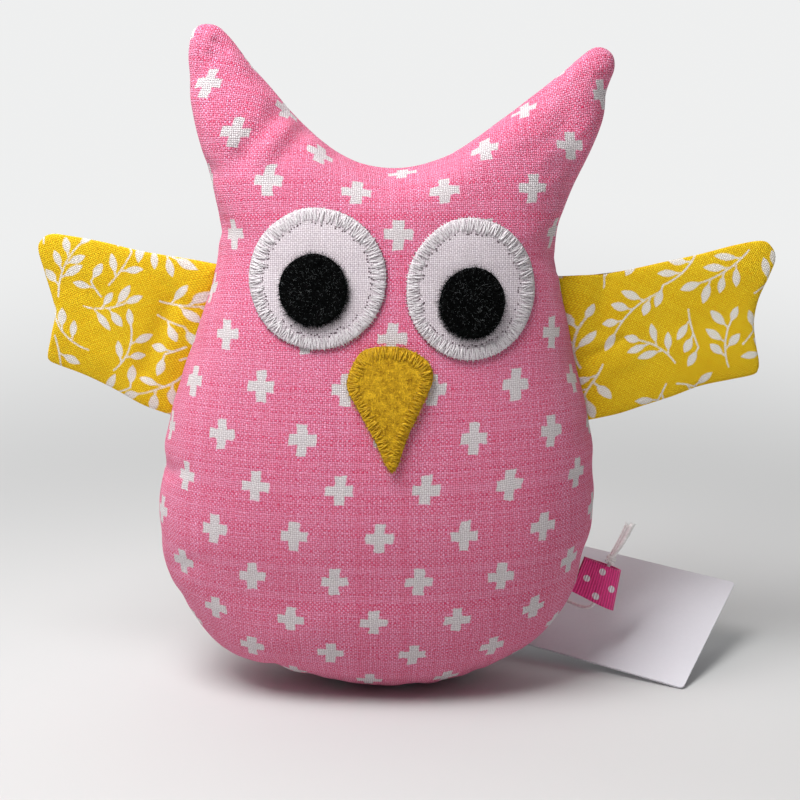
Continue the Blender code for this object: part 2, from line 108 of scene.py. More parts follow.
# The side seam, clockwise from the base as the viewer sees it: shares across
# and up, and the place on the spine that a rib from there runs to
SEAM_SHARES = (
    ((0.058, 0.000), "seat"),
    ((-0.130, 0.005), "seat"),
    ((-0.300, 0.017), "seat"),
    ((-0.478, 0.032), "seat"),
    ((-0.705, 0.059), "seat"),
    ((-0.853, 0.115), "seat"),
    ((-0.962, 0.181), "seat"),
    ((-1.000, 0.258), "belly"),
    ((-0.975, 0.340), "waist"),
    (LEFT_ROOT_LOW_SHARES, "chest"),
    ((-0.827, 0.537), "throat"),
    (LEFT_ROOT_HIGH_SHARES, "brow"),
    ((-0.691, 0.717), "left_temple"),
    ((-0.733, 0.790), "left_brow"),
    ((-0.780, 0.867), "left_ear"),
    ((-0.811, 0.937), "left_tip"),
    ((-0.787, 0.991), "left_tip"),
    ((-0.702, 1.000), "left_tip"),
    ((-0.627, 0.981), "left_tip"),
    ((-0.511, 0.929), "left_ear"),
    ((-0.362, 0.869), "left_brow"),
    ((-0.169, 0.816), "left_temple"),
    ((0.058, 0.791), "brow"),
    ((0.285, 0.808), "right_temple"),
    ((0.513, 0.851), "right_brow"),
    ((0.713, 0.899), "right_ear"),
    ((0.878, 0.950), "right_tip"),
    ((0.965, 0.968), "right_tip"),
    ((1.036, 0.953), "right_tip"),
    ((1.026, 0.908), "right_tip"),
    ((0.951, 0.836), "right_ear"),
    ((0.860, 0.760), "right_brow"),
    ((0.809, 0.689), "right_temple"),
    (RIGHT_ROOT_HIGH_SHARES, "brow"),
    ((0.893, 0.524), "throat"),
    (RIGHT_ROOT_LOW_SHARES, "chest"),
    ((1.000, 0.331), "waist"),
    ((0.980, 0.233), "belly"),
    ((0.904, 0.147), "seat"),
    ((0.758, 0.080), "seat"),
    ((0.531, 0.032), "seat"),
    ((0.330, 0.009), "seat"),
    ((0.200, 0.002), "seat"),
)

# Stuffing the body by cloth simulation, at ten times the owl's size
WORKSHOP_SCALE = 10
CLOTH_FRAMES = 20
CLOTH_SETTINGS = {
    "quality": 6,
    "mass": 0.15,
    "tension_stiffness": 20,
    "compression_stiffness": 12,
    "shear_stiffness": 6,
    "bending_stiffness": 0.15,
    "use_pressure": True,
    "uniform_pressure_force": 4.0,
    "vertex_group_shrink": "seam",
    "shrink_min": 0,
    "shrink_max": 0.06,
}
LEAST_PULL = 0.01
MOST_CREASE = 0.0012
SETTLING_ROUNDS = 3
EVENING_ROUNDS = 70
SEAM_REACH = 0.0060
CREASE_START = 0.0060
CREASE_END = 0.0200
EAR_CALM_START = 0.1440
EAR_CALM_END = 0.1560

# Folds on the front, in millimetres: both ends across and up, depth and reach.
# A depth under nothing is a ridge
FOLDS_MM = (
    (-39.6, 132.0, -31.6, 140.2, 1.45, 1.9),
    (-34.4, 131.2, -28.6, 138.4, -0.55, 1.5),
    (-29.6, 131.6, -24.8, 137.6, 1.20, 1.6),
    (-45.4, 128.5, -38.5, 130.5, 0.80, 2.8),
    (-45.6, 140.0, -44.6, 134.0, -0.50, 3.0),
    (-45.0, 158.6, -42.6, 156.6, 0.70, 1.0),
    (-46.4, 155.6, -44.6, 153.8, 0.40, 1.0),
    (35.0, 109.8, 37.0, 105.2, 0.95, 1.2),
    (34.0, 127.6, 29.0, 133.4, 0.70, 2.2),
    (41.0, 135.5, 36.5, 140.0, 0.55, 2.0),
    (-58.4, 56.0, -54.0, 57.6, 1.00, 1.5),
    (-55.6, 33.0, -50.0, 36.0, 0.55, 1.6),
    (44.6, 53.0, 40.6, 55.0, 0.55, 1.6),
    (-33.0, 7.0, -29.5, 12.0, 0.60, 1.5),
    (17.5, 4.0, 15.5, 9.5, 0.55, 1.5),
)

# Wings
LEFT_WING_REACH = 0.0414
RIGHT_WING_REACH = 0.0515
WING_PUFF = 0.0016
WING_ROOT_GAP = 0.0009
WING_ROUNDNESS = 3.2
WING_RINGS = 54
WING_STEPS = 15
ROOT_STEPS = 40
WING_TUCK = 0.0006
ROOT_HOLD = 0.0050
ROOT_HALF = 0.00055
ROOT_CORNER = 0.0015
SLIT_OPENING = 0.00078
SLIT_RUN = 0.0018
SLIT_START = 0.0012
SLIT_END = 0.0045
WEAVE_TURN = math.radians(40)
FOLD_FREE_RUN = (0.0005, 0.0030)
FILL_RINGS = 5
FILL_ROUNDNESS = 2
FILL_START_SHARE = 0.15
FILL_REACH_SHARE = 0.78
FILL_HEIGHT_SHARE = 0.86
FILL_DEPTH_SHARE = 0.5
WING_SPINE_SHARES = (0.25, 0.75)
LEFT_WING_SHARES = (
    (0.00, 0.00), (0.16, 0.01), (0.34, 0.05), (0.53, 0.08), (0.70, 0.09),
    (0.76, 0.10), (0.78, 0.14), (0.79, 0.27), (0.81, 0.42), (0.92, 0.61),
    (1.00, 0.75), (0.99, 0.82), (0.95, 0.86), (0.87, 0.88), (0.66, 0.91),
    (0.42, 0.93), (0.16, 0.97), (0.00, 1.00),
)
RIGHT_WING_SHARES = (
    (0.00, 0.00), (0.13, 0.00), (0.26, 0.02), (0.40, 0.04), (0.54, 0.07),
    (0.68, 0.07), (0.80, 0.07), (0.83, 0.10), (0.84, 0.16), (0.84, 0.29),
    (0.85, 0.43), (0.89, 0.57), (0.96, 0.71), (1.00, 0.81), (0.99, 0.89),
    (0.95, 0.94), (0.83, 0.95), (0.64, 0.94), (0.46, 0.94), (0.28, 0.94),
    (0.12, 0.96), (0.00, 1.00),
)

# Soft folds on the wings, in millimetres: both ends out from the root and up
# it, depth and reach
LEFT_WING_FOLDS_MM = (
    (8.5, 9.0, 7.0, 27.0, 0.70, 2.4),
    (3.8, 12.0, 3.6, 30.0, -0.30, 1.6),
    (9.0, 31.0, 3.0, 27.0, 0.40, 1.6),
    (24.0, 22.0, 36.0, 25.0, 0.35, 3.5),
    (20.0, 8.0, 30.0, 12.0, -0.30, 3.0),
)
RIGHT_WING_FOLDS_MM = (
    (5.5, 22.0, 9.5, 33.0, 0.70, 2.6),
    (2.0, 15.5, 11.0, 18.5, 0.55, 1.3),
    (4.0, 11.0, 13.0, 13.5, -0.35, 2.2),
    (22.0, 20.0, 34.0, 17.0, 0.30, 3.5),
    (30.0, 30.0, 42.0, 28.0, -0.30, 3.5),
)

# Each wing's outline, reach, root, way out, folds and a seed for its print
WINGS = {
    "left": (LEFT_WING_SHARES, LEFT_WING_REACH, LEFT_ROOT_LOW_SHARES, LEFT_ROOT_HIGH_SHARES, -1,
             LEFT_WING_FOLDS_MM, 7),
    "right": (RIGHT_WING_SHARES, RIGHT_WING_REACH, RIGHT_ROOT_LOW_SHARES, RIGHT_ROOT_HIGH_SHARES, 1,
              RIGHT_WING_FOLDS_MM, 9),
}

# Printed sprigs of the wing cotton. Pairs are the least and the most
SPRIG_SPACING = 0.0044
SPRIG_JITTER = 0.3
STEM_STEP = 0.0009
STEM_STEPS = (11, 17)
STEM_BEND_DEG = 62
STEM_WIDTH = 0.00040
SHORTEST_STEM = 4
FIRST_LEAF = 3
LEAF_EVERY = 2
FEWEST_LEAVES = 2
LEAF_LENGTH = 0.0052
LEAF_WIDTH = 0.00195
LEAF_LENGTH_SHARES = (0.74, 1.08)
LEAF_WIDTH_SHARES = (0.85, 1.1)
LEAF_LEAN_DEG = (38, 62)
LEAF_STALK = 0.0011
LEAF_SPOT_SHARES = (-0.3, -0.1, 0.1, 0.3, 0.45)
LEAF_SLOPE = 0.85
LEAF_ROOM = 0.00178
STEM_ROOM = 0.0011
EDGE_ROOM = 0.0030
PRINT_STEP = 0.00045
PRINT_SPLITS = 2
FARTHEST_PRINT = 1.0

# Eyes and beak
LEFT_WHITE_SHARES = (-0.238, 0.640)
RIGHT_WHITE_SHARES = (0.405, 0.625)
LEFT_WHITE_SIZE = (0.0317, 0.0319)
RIGHT_WHITE_SIZE = (0.0297, 0.0322)
LEFT_PUPIL_SIZE = (0.0154, 0.0162)
RIGHT_PUPIL_SIZE = (0.0147, 0.0159)
LEFT_PUPIL_SHIFT = (-0.0007, -0.0025)
RIGHT_PUPIL_SHIFT = (0.0001, -0.0031)

# Each eye's place, the sizes of its white and pupil, the pupil's shift and a seed
EYES = {
    "left": (LEFT_WHITE_SHARES, LEFT_WHITE_SIZE, LEFT_PUPIL_SIZE, LEFT_PUPIL_SHIFT, 11),
    "right": (RIGHT_WHITE_SHARES, RIGHT_WHITE_SIZE, RIGHT_PUPIL_SIZE, RIGHT_PUPIL_SHIFT, 21),
}

# Beak, and how patches are cut and laid
BEAK_SEED = 31
BEAK_MIDDLE_SHARES = (0.068, 0.460)
BEAK_SIZE = (0.0195, 0.0284)
BEAK_SHARES = (
    (-0.08, 0.50), (-0.60, 0.47), (-0.86, 0.36), (-1.02, 0.18), (-0.75, 0.00),
    (-0.40, -0.22), (-0.13, -0.43), (0.05, -0.50), (0.20, -0.42), (0.39, -0.22),
    (0.70, 0.00), (0.98, 0.22), (0.87, 0.37), (0.43, 0.47),
)
BEAK_STEPS = 8
EYE_LIFT = 0.0003
EYE_PUFF = 0.0003
EYE_CLOTH = 0.0005
FELT_THICKNESS = 0.0011
PUPIL_PUFF = 0.0002
BEAK_PUFF = 0.0005
WHITE_POINTS = 96
PUPIL_POINTS = 72
PATCH_RINGS = 14
PUPIL_RINGS = 8
RING_CROWDING = 1.25
PUFF_FLATNESS = 4
WAVES_PER_METRE = 130
WHITE_WAVE = 0.012
PUPIL_WAVE = 0.03
BEAK_WAVE = 0.02

# Stitches
SATIN_BAND = 0.0029
SATIN_PITCH = 0.00040
SATIN_THREAD = 0.00029
SATIN_OVERHANG = 0.0003
FELT_BAND = 0.0021
FELT_PITCH = 0.00038
PUPIL_THREAD = 0.00024
PUPIL_OVERHANG = 0.0001
BEAK_BAND = 0.0026
BEAK_THREAD = 0.00026
BEAK_OVERHANG = 0.0002
THREAD_SIDES = 5
THREAD_ARCH = 0.00017
THREAD_LIFT = 0.15
STITCH_STEPS = 5
STITCH_CROWN = 0.7
ARCH_SHARES = (0.4, 1.6)

# How far a hand-led zigzag wanders: slowly in and out, from stitch to stitch at
# its outer and inner side, and along the edge in bunches and by chance
DRIFT_PER_STITCH = 0.11
OUTER_DRIFT = 0.00012
OUTER_WANDER = (-0.00016, 0.00018)
INNER_DRIFT = 0.24
INNER_WANDER = (-0.00048, 0.00036)
BUNCH_TURN = 0.9
BUNCH_SHARE = 0.55
BUNCH_BACK = -0.6
SLIDE_SHARE = 0.8

# Painted shade at the inner side of the satin band: short dark tubes set into the cloth where its needle
# holes are
NEEDLE_HOLE = 0.00042
NEEDLE_SIDES = 7
NEEDLE_CHANCE = 0.55
NEEDLE_INWARD = 0.972
NEEDLE_DEPTH = 0.0001
NEEDLE_RISE = 0.00003

# Loose felt fibres: length, number, and the share that stands inside the edge
PUPIL_FUZZ = (0.0010, 3000, 0.65)
PUPIL_SPECKS = (0.0008, 900, 0.9)
BEAK_FUZZ = (0.0008, 400, 0.25)
FIBRE_WIDTH = 0.00006
FIBRE_SIDES = 3
FIBRE_STEPS = 3
FIBRE_SPACING = 0.0002
FIBRE_ROOT = 0.0002
FIBRE_EDGE = 0.99
FIBRE_OUT_SHARES = (0.1, 1.0)
FIBRE_UP_SHARES = (0.2, 0.9)
FIBRE_LENGTH_SHARES = (0.4, 1.2)
FIBRE_SCATTER = 0.8
FIBRE_CURL = 0.5

# Ribbon loop
RIBBON_WIDTH = 0.0095
RIBBON_REACH = 0.0098
RIBBON_THICKNESS = 0.0004
RIBBON_OPENING = 0.0026
RIBBON_HEIGHT = 0.0270
RIBBON_ROOT_GAP = 0.0006
RIBBON_SHARES = ((0.00, 0.28), (0.25, 0.45), (0.48, 0.84), (0.68, 1.00), (0.88, 0.80), (0.98, 0.38))
RIBBON_BEND_STEPS = 5
RIBBON_STEPS = 12
RIBBON_SAG_OUT = 0.0022
RIBBON_SAG_DOWN = 0.0011
RIBBON_RIB = 0.00062
DOT_ALONG = 0.0062
DOT_ASIDE = 0.0062
DOT_REACH = 0.00082
DOT_EDGE = 0.00008

# String
STRING_DIAMETER = 0.0009
KNOT_DIAMETER = 0.0028
STRING_ROUTE = (
    (0.0564, -0.0016, 0.0402), (0.0553, -0.0013, 0.0374), (0.0541, -0.0008, 0.0348),
    (0.0529, -0.0002, 0.0324), (0.0522, 0.0000, 0.0308), (0.0517, 0.0000, 0.0293),
    (0.0506, 0.0000, 0.0260), (0.0494, 0.0000, 0.0227), (0.0482, 0.0000, 0.0195),
    (0.0475, 0.0009, 0.0178), (0.0456, 0.0048, 0.0164), (0.0418, 0.0132, 0.0157),
    (0.0374, 0.0220, 0.0159), (0.0332, 0.0296, 0.0166), (0.0303, 0.0333, 0.0165),
    (0.0290, 0.0340, 0.0150), (0.0290, 0.0340, 0.0136), (0.0290, 0.0340, 0.0119),
    (0.0290, 0.0340, 0.0106),
)
STRING_STEPS = 3
TAIL_KNOT_INDEX = 4
CARD_KNOT_INDEX = 17
TAIL_SPREAD = Vector((0.0005, -0.0007, 0.0003))
TAIL_START_SHARE = 0.5
TAIL_WIDENING = 0.6
TAIL_PARTING = 3
TAIL_SWELL = 1.35
TAIL_SIDES = 8
STRING_SEED = 5
KNOT_STEPS = 60
KNOT_TURNS = 3
KNOT_WAVES = 1.5
KNOT_SIDES = 10
KNOT_STRING = 0.92

# Shares of a knot's size: how far its turns reach and swell, and how long it is
KNOT_REACH_SHARE = 0.30
KNOT_SWELL_SHARE = 0.22
KNOT_LENGTH_SHARE = 0.55

# Frayed fibres at the tips of the tails
FRAY_COUNT = 14
FRAY_WIDTH = 0.00010
FRAY_LENGTHS = (0.0004, 0.0011)
FRAY_SPREAD = 0.00022
FRAY_ROOT = 0.0004
FRAY_LEAN = 0.55
FRAY_CURL = 0.2

# Light
AMBIENT = 0.13
AMBIENT_COLOUR = (0.95, 0.97, 1.0, 1)

# Lamps: place, size, power and aim
LAMPS = {
    "window": ((-0.50, -0.30, 1.00), 0.7, 4.4, (0, 0, 0.09)),
    "lamp_above": ((-0.13, -0.15, 0.41), 0.22, 1.64, (0, -0.02, 0.10)),
}

# Floor and backdrop. Between two distances from the owl the floor fades into
# the backdrop's even glow, so that its far edge shows from no side
FLOOR_COLOUR = (0.63, 0.63, 0.627, 1)
BACKDROP_COLOUR = (0.86, 0.865, 0.865, 1)
BLACK = (0, 0, 0, 1)
FLOOR_FADE = (0.16, 0.62)
FLOOR_REACH = 2.5
BACKDROP_START = 0.25
BACKDROP_BEND = 0.60
BACKDROP_STEPS = 24

# Cloth patterns
PINK_THREAD = 0.00050
WHITE_THREAD = 0.00046
YELLOW_THREAD = 0.00046
PINK_WAVER = 1.5
PLAIN_WAVER = 1.2
PINK_RELIEF = 0.00016
PLAIN_RELIEF = 0.00010
WEAVE_DIP = 0.4
WEAVE_GAPS = (0.05, 0.62)
# How strongly painted shade darkens the gaps between threads
GAP_SHADE = 0.85
SLUB_TONE = 0.45
THREAD_TONE = 0.30
# Warp threads are painted lighter than weft by this much, standing in for light from above catching them
WARP_PAINTED_LIGHT = 0.25
CROSS_ACROSS = 0.0202
CROSS_DOWN = 0.0236
CROSS_WIDE = 0.0066
CROSS_TALL = 0.0074
CROSS_ARM = 0.0025
CROSS_EDGE = 0.00012
CROSS_ROUGHNESS = 0.0007
CROSS_SWELL = 0.0012
LEAF_EDGE = (-0.00012, 0.00014)
LEAF_ROUGHNESS = 0.0003

# How the crosses lie on the cut cloth: the height of each row, and their pitch
# across and their middle column at some heights
CROSS_ROWS_MM = (
    -6.0, 4.5, 15.4, 24.0, 34.2, 45.0, 56.0, 67.1, 78.8, 90.3, 102.2, 114.4, 124.7, 135.0, 146.0, 157.0,
)
CROSS_PITCHES_MM = ((15, 18.9), (45, 19.0), (70, 19.6), (90, 20.2), (125, 21.6), (135, 20.8), (150, 19.9))
CROSS_COLUMN_MM = ((0, -9.6), (56.0, -5.85), (67.1, -4.4), (78.8, -4.32), (150, 0.45))

# How far the left ear's rows are lifted, and where that starts and ends
LEFT_EAR_LIFT_MM = 3.0
LEFT_EAR_HEIGHTS_MM = (112, 134)
LEFT_EAR_ASIDE_MM = (20, 32)

# Dyes and inks. A cotton's three shades multiply them on its darkest threads, on its lightest, and in the
# gaps as painted shade; the ribbon's two multiply them low and high on a rib, as painted shade in its troughs
# and painted light on its crests
PINK_DYES = ((0.94, 0.190, 0.380, 1), (0.99, 0.240, 0.435, 1))
PINK_SHADES = ((0.80, 0.14, 0.30, 1), (1.00, 2.30, 1.76, 1), (0.48, 0.08, 0.18, 1))
CROSS_INK = (0.88, 0.83, 0.84, 1)
CROSS_SHADES = ((0.76, 0.73, 0.74, 1), (1.03, 1.03, 1.03, 1), (0.50, 0.42, 0.45, 1))
EYE_WHITE = (0.87, 0.80, 0.84, 1)
EYE_WHITE_SHADES = ((0.68, 0.64, 0.66, 1), (1.08, 1.09, 1.08, 1), (0.36, 0.27, 0.31, 1))
YELLOW_DYES = ((0.90, 0.57, 0.006, 1), (0.98, 0.68, 0.014, 1))
YELLOW_SHADES = ((0.82, 0.68, 0.30, 1), (1.00, 1.18, 2.60, 1), (0.60, 0.42, 0.14, 1))
LEAF_INK = (0.90, 0.87, 0.83, 1)
LEAF_SHADES = ((0.86, 0.84, 0.80, 1), (1.02, 1.02, 1.02, 1), (0.72, 0.66, 0.54, 1))
RIBBON_DYES = ((0.84, 0.020, 0.210, 1), (1.00, 0.070, 0.360, 1))
RIBBON_SHADES = ((0.70, 0.55, 0.62, 1), (1.03, 1.10, 1.08, 1))
DOT_INK = (0.92, 0.86, 0.89, 1)
CARD_WHITES = ((0.71, 0.70, 0.75, 1), (0.78, 0.77, 0.81, 1))
FIBREFILL_WHITES = ((0.68, 0.68, 0.66, 1), (0.86, 0.86, 0.85, 1))

# Felts: material name, darkest and lightest colour, sheen, gloss, fibre width
FELTS = {
    "black_felt": ("black_pupil_felt", (0.0006, 0.0007, 0.0006, 1), (0.005, 0.0055, 0.0055, 1),
                   0.0, 0.01, 0.0002),
    "mustard_felt": ("mustard_beak_felt", (0.26, 0.115, 0.001, 1), (0.88, 0.53, 0.020, 1),
                     0.04, 0.1, 0.00022),
}

# Threads: material name, darkest and lightest colour, sheen and gloss
THREADS = {
    "white_thread": ("white_satin_thread", (0.64, 0.59, 0.61, 1), (0.82, 0.78, 0.80, 1), 0.1, 0.25),
    "black_thread": ("black_thread", (0.0008, 0.0009, 0.0009, 1), (0.006, 0.0065, 0.0065, 1), 0.0, 0.02),
    "grey_fibre": ("grey_felt_fibre", (0.03, 0.034, 0.036, 1), (0.20, 0.21, 0.215, 1), 0.0, 0.02),
    # Not a thread: dark tubes painted as shade in the needle holes
    "dark_needle_shade": ("needle_hole_shade", (0.10, 0.07, 0.08, 1), (0.20, 0.15, 0.17, 1), 0.0, 0.02),
    "mustard_thread": ("mustard_thread", (0.44, 0.23, 0.002, 1), (0.78, 0.49, 0.012, 1), 0.1, 0.25),
    "string": ("white_string_cotton", (0.70, 0.67, 0.66, 1), (0.88, 0.86, 0.85, 1), 0.1, 0.25),
}
FELT_TONES = (0.40, 0.66)
FELT_RELIEF = 0.00045
THREAD_TONES = (0.3, 0.7)
THREAD_RELIEF = 0.00008
RIBBON_RELIEF = 0.00018
CARD_RELIEF = 0.00003
FIBREFILL_RELIEF = 0.0008


# Measuring and drawing

def through_points(before, start, end, after, part):
    """Return one value of a Catmull-Rom curve between start and end."""
    slope_in = (end - before) / 2
    slope_out = (after - start) / 2
    bend = 3 * (end - start) - 2 * slope_in - slope_out
    twist = 2 * (start - end) + slope_in + slope_out
    return start + part * (slope_in + part * (bend + part * twist))


def smooth_rows(rows, steps, closed):
    """Sample a smooth curve through rows of numbers, a few steps to a row."""
    count = len(rows)
    spans = count if closed else count - 1
    samples = []
    for index in range(spans):
        if closed:
            picked = [rows[place % count] for place in range(index - 1, index + 3)]
        else:
            picked = [rows[min(max(place, 0), count - 1)] for place in range(index - 1, index + 3)]
        for step in range(steps):
            samples.append([through_points(*values, step / steps) for values in zip(*picked)])
    if not closed:
        samples.append(list(rows[-1]))
    return samples


def even_steps(points, pitch):
    """Return points a pitch apart round a closed line, fitted to its whole length."""
    line = np.array(points, float)
    line = np.vstack([line, line[:1]])
    runs = np.linalg.norm(np.diff(line, axis=0), axis=1)
    along = np.concatenate([[0], np.cumsum(runs)])
    count = max(2, 2 * round(along[-1] / pitch / 2))
    places = np.linspace(0, along[-1], count, endpoint=False)
    return np.stack([np.interp(places, along, line[:, axis]) for axis in range(line.shape[1])], 1)


def seam_place(shares):
    """Return the X and Z of a place given as shares of the body's sizes."""
    across, up = shares
    return BODY_MIDDLE_X + across * BODY_WIDTH / 2, up * BODY_HEIGHT - BASE_FLAT


def fade(value, start, end):
    """Return a smooth step from 0 at start to 1 at end."""
    part = np.clip((value - start) / (end - start), 0, 1)
    return part * part * (3 - 2 * part)


def vertex_places(mesh):
    """Return a mesh's vertex places as rows of X, Y and Z."""
    places = np.empty(len(mesh.vertices) * 3)
    mesh.vertices.foreach_get("co", places)
    return places.reshape(-1, 3)


def set_places(mesh, places):
    """Move a mesh's vertices to new places."""
    mesh.vertices.foreach_set("co", np.asarray(places, float).ravel())
    mesh.update()


def vertex_normals(mesh):
    """Return a mesh's vertex normals as rows."""
    normals = np.empty(len(mesh.vertices) * 3)
    mesh.vertices.foreach_get("normal", normals)
    return normals.reshape(-1, 3)


def add_object(name, data):
    """Link an object for a mesh, a curve, a lamp or a camera."""
    made = bpy.data.objects.new(name, data)
    bpy.context.scene.collection.objects.link(made)
    return made


def finish_mesh(soft, name):
    """Turn a mesh in the making into a finished one."""
    mesh = bpy.data.meshes.new(name)
    soft.to_mesh(mesh)
    soft.free()
    return mesh


def surface_tree(*pieces):
    """Return a search tree over the finished surfaces of some pieces."""
    graph = bpy.context.evaluated_depsgraph_get()
    points = []
    faces = []
    for piece in pieces:
        seen = piece.evaluated_get(graph)
        mesh = seen.to_mesh()
        start = len(points)
        points += [piece.matrix_world @ vertex.co for vertex in mesh.vertices]
        faces += [[start + corner for corner in face.vertices] for face in mesh.polygons]
        seen.to_mesh_clear()
    return BVHTree.FromPolygons(points, faces)


def touch_from_front(tree, x, z):
    """Return the place and normal where a line from the front meets a surface."""
    place, normal, _, _ = tree.ray_cast(Vector((x, -1, z)), Vector((0, 1, 0)))
    if place is None:
        place, normal, _, _ = tree.find_nearest(Vector((x, -FRONT_DEPTH, z)))
    if normal.y > 0:
        normal = -normal
    return place, normal


# Materials

def add_node(tree, kind, values=(), **settings):
    """Add a shader node, set it up, and link or fill its inputs in order."""
    made = tree.nodes.new(kind)
    for setting, value in settings.items():
        setattr(made, setting, value)
    pairs = values.items() if isinstance(values, dict) else enumerate(values)
    for socket, value in pairs:
        if value is None:
            continue
        if isinstance(value, bpy.types.NodeSocket):
            tree.links.new(value, made.inputs[socket])
        else:
            made.inputs[socket].default_value = value
    return made


def reckon(tree, operation, *values):
    """Add a math node and return its result."""
    return add_node(tree, "ShaderNodeMath", values, operation=operation).outputs[0]


def vector_reckon(tree, operation, *values):
    """Add a vector math node and return its result."""
    return add_node(tree, "ShaderNodeVectorMath", values, operation=operation).outputs[0]


def mix_colours(tree, part, first, second, blend="MIX"):
    """Add a colour mix node and return its result."""
    made = add_node(tree, "ShaderNodeMix", data_type="RGBA", blend_type=blend)
    for socket, value in ((made.inputs["Factor"], part), (made.inputs[6], first), (made.inputs[7], second)):
        if isinstance(value, bpy.types.NodeSocket):
            tree.links.new(value, socket)
        else:
            socket.default_value = value
    return made.outputs[2]


def ramp_between(tree, value, low, high, start=0.0, end=1.0, smooth=False):
    """Map a value from one span to another, held at both ends."""
    made = add_node(tree, "ShaderNodeMapRange", {"Value": value, "From Min": low, "From Max": high,
                                                 "To Min": start, "To Max": end})
    if smooth:
        made.interpolation_type = "SMOOTHSTEP"
    return made.outputs["Result"]


def add_noise(tree, place, scale, detail, distortion=0.0):
    """Add a noise texture and return its outputs."""
    values = {"Vector": place, "Scale": scale, "Detail": detail, "Distortion": distortion}
    return add_node(tree, "ShaderNodeTexNoise", values).outputs


def start_group(name, inputs, outputs):
    """Start a shader node group with named inputs and outputs."""
    group = bpy.data.node_groups.new(name, "ShaderNodeTree")
    for socket, kind, value in inputs:
        made = group.interface.new_socket(socket, in_out="INPUT", socket_type=kind)
        if value is not None:
            made.default_value = value
    for socket, kind in outputs:
        group.interface.new_socket(socket, in_out="OUTPUT", socket_type=kind)
    entry = group.nodes.new("NodeGroupInput")
    leave = group.nodes.new("NodeGroupOutput")
    return group, entry.outputs, leave.inputs


def plain_weave_group():
    """Threads that pass over and under each other, with uneven tones and warp threads painted lighter than
    weft.
    """
    group, given, result = start_group(
        "plain_weave",
        (("Place", "NodeSocketVector", None), ("Thread", "NodeSocketFloat", 0.0004),
         ("Waver", "NodeSocketFloat", 0.25)),
        (("Height", "NodeSocketFloat"), ("Tone", "NodeSocketFloat"), ("Gap", "NodeSocketFloat")))
    threads = vector_reckon(group, "SCALE", given["Place"])
    threads.node.inputs["Scale"].default_value = 1.0
    group.links.new(reckon(group, "DIVIDE", 1.0, given["Thread"]), threads.node.inputs["Scale"])
    waver = add_noise(group, threads, 0.35, 2.0)
    centred = vector_reckon(group, "SUBTRACT", waver["Color"], (0.5, 0.5, 0.5))
    nudge = vector_reckon(group, "SCALE", centred)
    group.links.new(given["Waver"], nudge.node.inputs["Scale"])
    bent = vector_reckon(group, "ADD", threads, nudge)
    split = add_node(group, "ShaderNodeSeparateXYZ", [bent])
    warp_index = reckon(group, "FLOOR", split.outputs["X"])
    weft_index = reckon(group, "FLOOR", split.outputs["Y"])
    warp_part = reckon(group, "FRACT", split.outputs["X"])
    weft_part = reckon(group, "FRACT", split.outputs["Y"])

    def crown(part):
        """Return 1 in the middle of a thread and 0 at its sides."""
        side = reckon(group, "MULTIPLY_ADD", part, 2.0, -1.0)
        return reckon(group, "SUBTRACT", 1.0, reckon(group, "MULTIPLY", side, side))

    warp_crown = crown(warp_part)
    weft_crown = crown(weft_part)
    over = reckon(group, "FLOORED_MODULO", reckon(group, "ADD", warp_index, weft_index), 2.0)
    warp_rise = reckon(group, "MULTIPLY_ADD", weft_crown, 1 - WEAVE_DIP, WEAVE_DIP)
    weft_rise = reckon(group, "MULTIPLY_ADD", warp_crown, 1 - WEAVE_DIP, WEAVE_DIP)
    warp_height = reckon(group, "MULTIPLY", warp_crown, warp_rise)
    weft_height = reckon(group, "MULTIPLY", weft_crown, weft_rise)
    height = add_node(group, "ShaderNodeMix", {"Factor": over, 2: warp_height, 3: weft_height}).outputs[0]
    warp_tone = add_node(group, "ShaderNodeTexWhiteNoise", {"W": warp_index}, noise_dimensions="1D")
    weft_tone = add_node(group, "ShaderNodeTexWhiteNoise",
                         {"W": reckon(group, "ADD", weft_index, 0.37)}, noise_dimensions="1D")
    tone = add_node(group, "ShaderNodeMix",
                    {"Factor": over, 2: warp_tone.outputs["Value"], 3: weft_tone.outputs["Value"]}).outputs[0]
    streak = ramp_between(group, add_noise(group, bent, 0.9, 3.0)["Fac"], *THREAD_TONES)
    mottle = reckon(group, "MULTIPLY_ADD", streak, SLUB_TONE, reckon(group, "MULTIPLY", tone, THREAD_TONE))
    # Painted light: every tone is raised, then the weft's lowered again, so warp threads read as lit from
    # above
    painted_lit_tone = reckon(group, "ADD", mottle, WARP_PAINTED_LIGHT)
    group.links.new(height, result["Height"])
    group.links.new(reckon(group, "MULTIPLY_ADD", over, -WARP_PAINTED_LIGHT, painted_lit_tone), result["Tone"])
    group.links.new(ramp_between(group, height, *WEAVE_GAPS, 1.0, 0.0, True), result["Gap"])
    return group


def felt_group():
    """Matted fibres that lie in every direction."""
    group, given, result = start_group(
        "matted_felt",
        (("Place", "NodeSocketVector", None), ("Fibre", "NodeSocketFloat", 0.0002)),
        (("Height", "NodeSocketFloat"), ("Tone", "NodeSocketFloat")))
    fibres = vector_reckon(group, "SCALE", given["Place"])
    group.links.new(reckon(group, "DIVIDE", 1.0, given["Fibre"]), fibres.node.inputs["Scale"])
    swirl = add_noise(group, fibres, 0.25, 2.0)
    bent = vector_reckon(group, "MULTIPLY_ADD", swirl["Color"], (5, 5, 5), fibres)
    first = add_noise(group, vector_reckon(group, "MULTIPLY", bent, (1.0, 0.22, 0.6)), 1.0, 3.0)
    second = add_noise(group, vector_reckon(group, "MULTIPLY", bent, (0.25, 1.0, 0.6)), 1.1, 3.0)
    height = reckon(group, "MAXIMUM", first["Fac"], second["Fac"])
    lumps = reckon(group, "MULTIPLY", add_noise(group, fibres, 0.12, 3.0)["Fac"], 0.35)
    group.links.new(height, result["Height"])
    group.links.new(reckon(group, "MULTIPLY_ADD", height, 0.65, lumps), result["Tone"])
    return group


